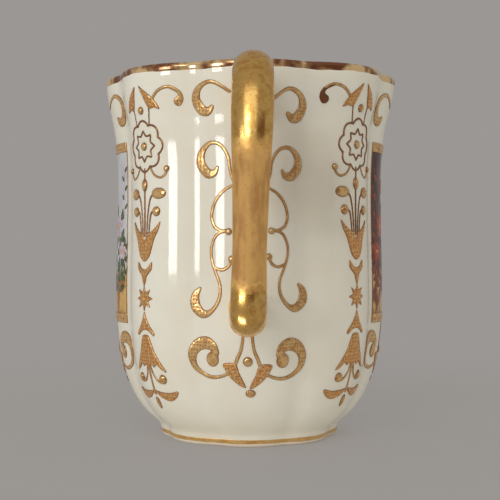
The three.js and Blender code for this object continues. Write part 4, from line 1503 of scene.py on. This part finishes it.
# name: azimuth, height, distance, width, tall (degrees and metres), radiance
ROOM_LAMPS = {
    "window": (-47, 0.133, 1.0, 0.25, 0.2, 9.5),
    "front": (-22, 0.4, 1.0, 0.36, 0.26, 4.4),
    "wide": (-10, 0.7, 1.0, 1.2, 0.72, 0.6),
}
HANDLE_LAMPS = {
    "spark": (-30, 0.007, 0.13, 0.06, 0.014, 6.0),
    "glint": (-16, 0.002, 0.049, 0.016, 0.012, 5.0),
    "edge_fill": (82, 0.06, 0.6, 0.5, 0.4, 4.0),
}

aim = new_object("aim", None)
aim.location = AIM
handle_only = bpy.data.collections.new("handle_only")
handle_only.objects.link(gilt_handle)


def soft_box(name, azimuth, height, distance, width, tall, radiance):
    """An area lamp that looks at the cup from an azimuth."""
    lamp = bpy.data.lights.new(name, "AREA")
    lamp.shape = "RECTANGLE"
    lamp.size, lamp.size_y = width, tall
    lamp.energy = radiance * math.pi * width * tall
    holder = new_object(name, lamp)
    holder.location = AIM + facing(azimuth) * distance
    holder.location.z = height
    follow = holder.constraints.new("TRACK_TO")
    follow.target, follow.track_axis, follow.up_axis = aim, "TRACK_NEGATIVE_Z", "UP_Y"
    return holder


lamps = {name: soft_box(name, *where) for name, where in (ROOM_LAMPS | HANDLE_LAMPS).items()}
for name in HANDLE_LAMPS:
    lamps[name].light_linking.receiver_collection = handle_only
lamps["edge_fill"].visible_glossy = False
print("lamps:", ", ".join(lamps))

# %% [markdown]
# ## Cards
#
# Gold mirrors what stands round it, so a photographer hangs cards. Two brown ones, which only mirror rays
# see, give the handle its dark side. A small flag close to the wall does the opposite: nobody sees it,
# but it takes light away, and leaves the soft shade to the right of the handle.

# %% Cards
# name: azimuth, distance, width, tall, height of the lower edge (degrees and metres)
MIRROR_CARDS = {"side_card": (40, 0.3, 0.2, 0.15, 0.003), "low_card": (10, 0.11, 0.05, 0.02, 0.003)}
FLAG = (20, 0.034, 0.012, 0.0125, 0.0415)


def card_brown():
    material, tree, shader = new_material("card_brown")
    brown = mix_colour(tree, place_noise(tree, 60), colour(136, 96, 80), colour(100, 66, 52))
    dress(tree, shader, {"Base Color": brown, "Roughness": 0.9})
    return material


brown_paper = card_brown()


def hung_card(name, azimuth, distance, width, tall, low):
    """An upright card that faces the cup and that no camera sees."""
    corners = [(x * width / 2, 0, z * tall) for x, z in ((-1, 0), (1, 0), (1, 1), (-1, 1))]
    card = new_mesh(name, corners, [(0, 1, 2, 3)], brown_paper)
    card.location = (0, AIM[1], low) + facing(azimuth) * distance
    card.rotation_euler.z = math.radians(azimuth)
    card.visible_camera = False
    return card


for name, where in MIRROR_CARDS.items():
    card = hung_card(name, *where)
    card.visible_diffuse = card.visible_shadow = False
flag = hung_card("flag", *FLAG)
flag.visible_glossy = flag.visible_transmission = False
print("cards:", ", ".join(MIRROR_CARDS), "and", flag.name)

# %% [markdown]
# ## Camera
#
# The picture is taken level, from a hand's length or two away, so perspective is strong: the handle
# looks large and the rim and foot curve opposite ways. The lens follows from the focal length in pixels
# of a 500-pixel picture.

# %% Camera
PICTURE = 500
FOCAL_PIXELS = 1081
AXIS_PIXEL = 249.2
EYE_DISTANCE = 205.2
EYE_HEIGHT = 34.53
EYE_AZIMUTH = math.radians(-0.6)

camera = bpy.data.cameras.new("camera")
camera.sensor_width = 36
camera.lens = FOCAL_PIXELS / PICTURE * camera.sensor_width
camera.shift_x = (PICTURE / 2 - AXIS_PIXEL) / PICTURE
camera.clip_start = 0.01
eye = new_object("camera", camera)
eye.location = turned(np.array(EYE_AZIMUTH), EYE_DISTANCE, EYE_HEIGHT) * MM
eye.rotation_euler = (math.pi / 2, 0, EYE_AZIMUTH)
bpy.context.scene.camera = eye
bpy.context.scene.view_settings.view_transform = "Standard"
print(f"camera with a {camera.lens:.1f} mm lens")
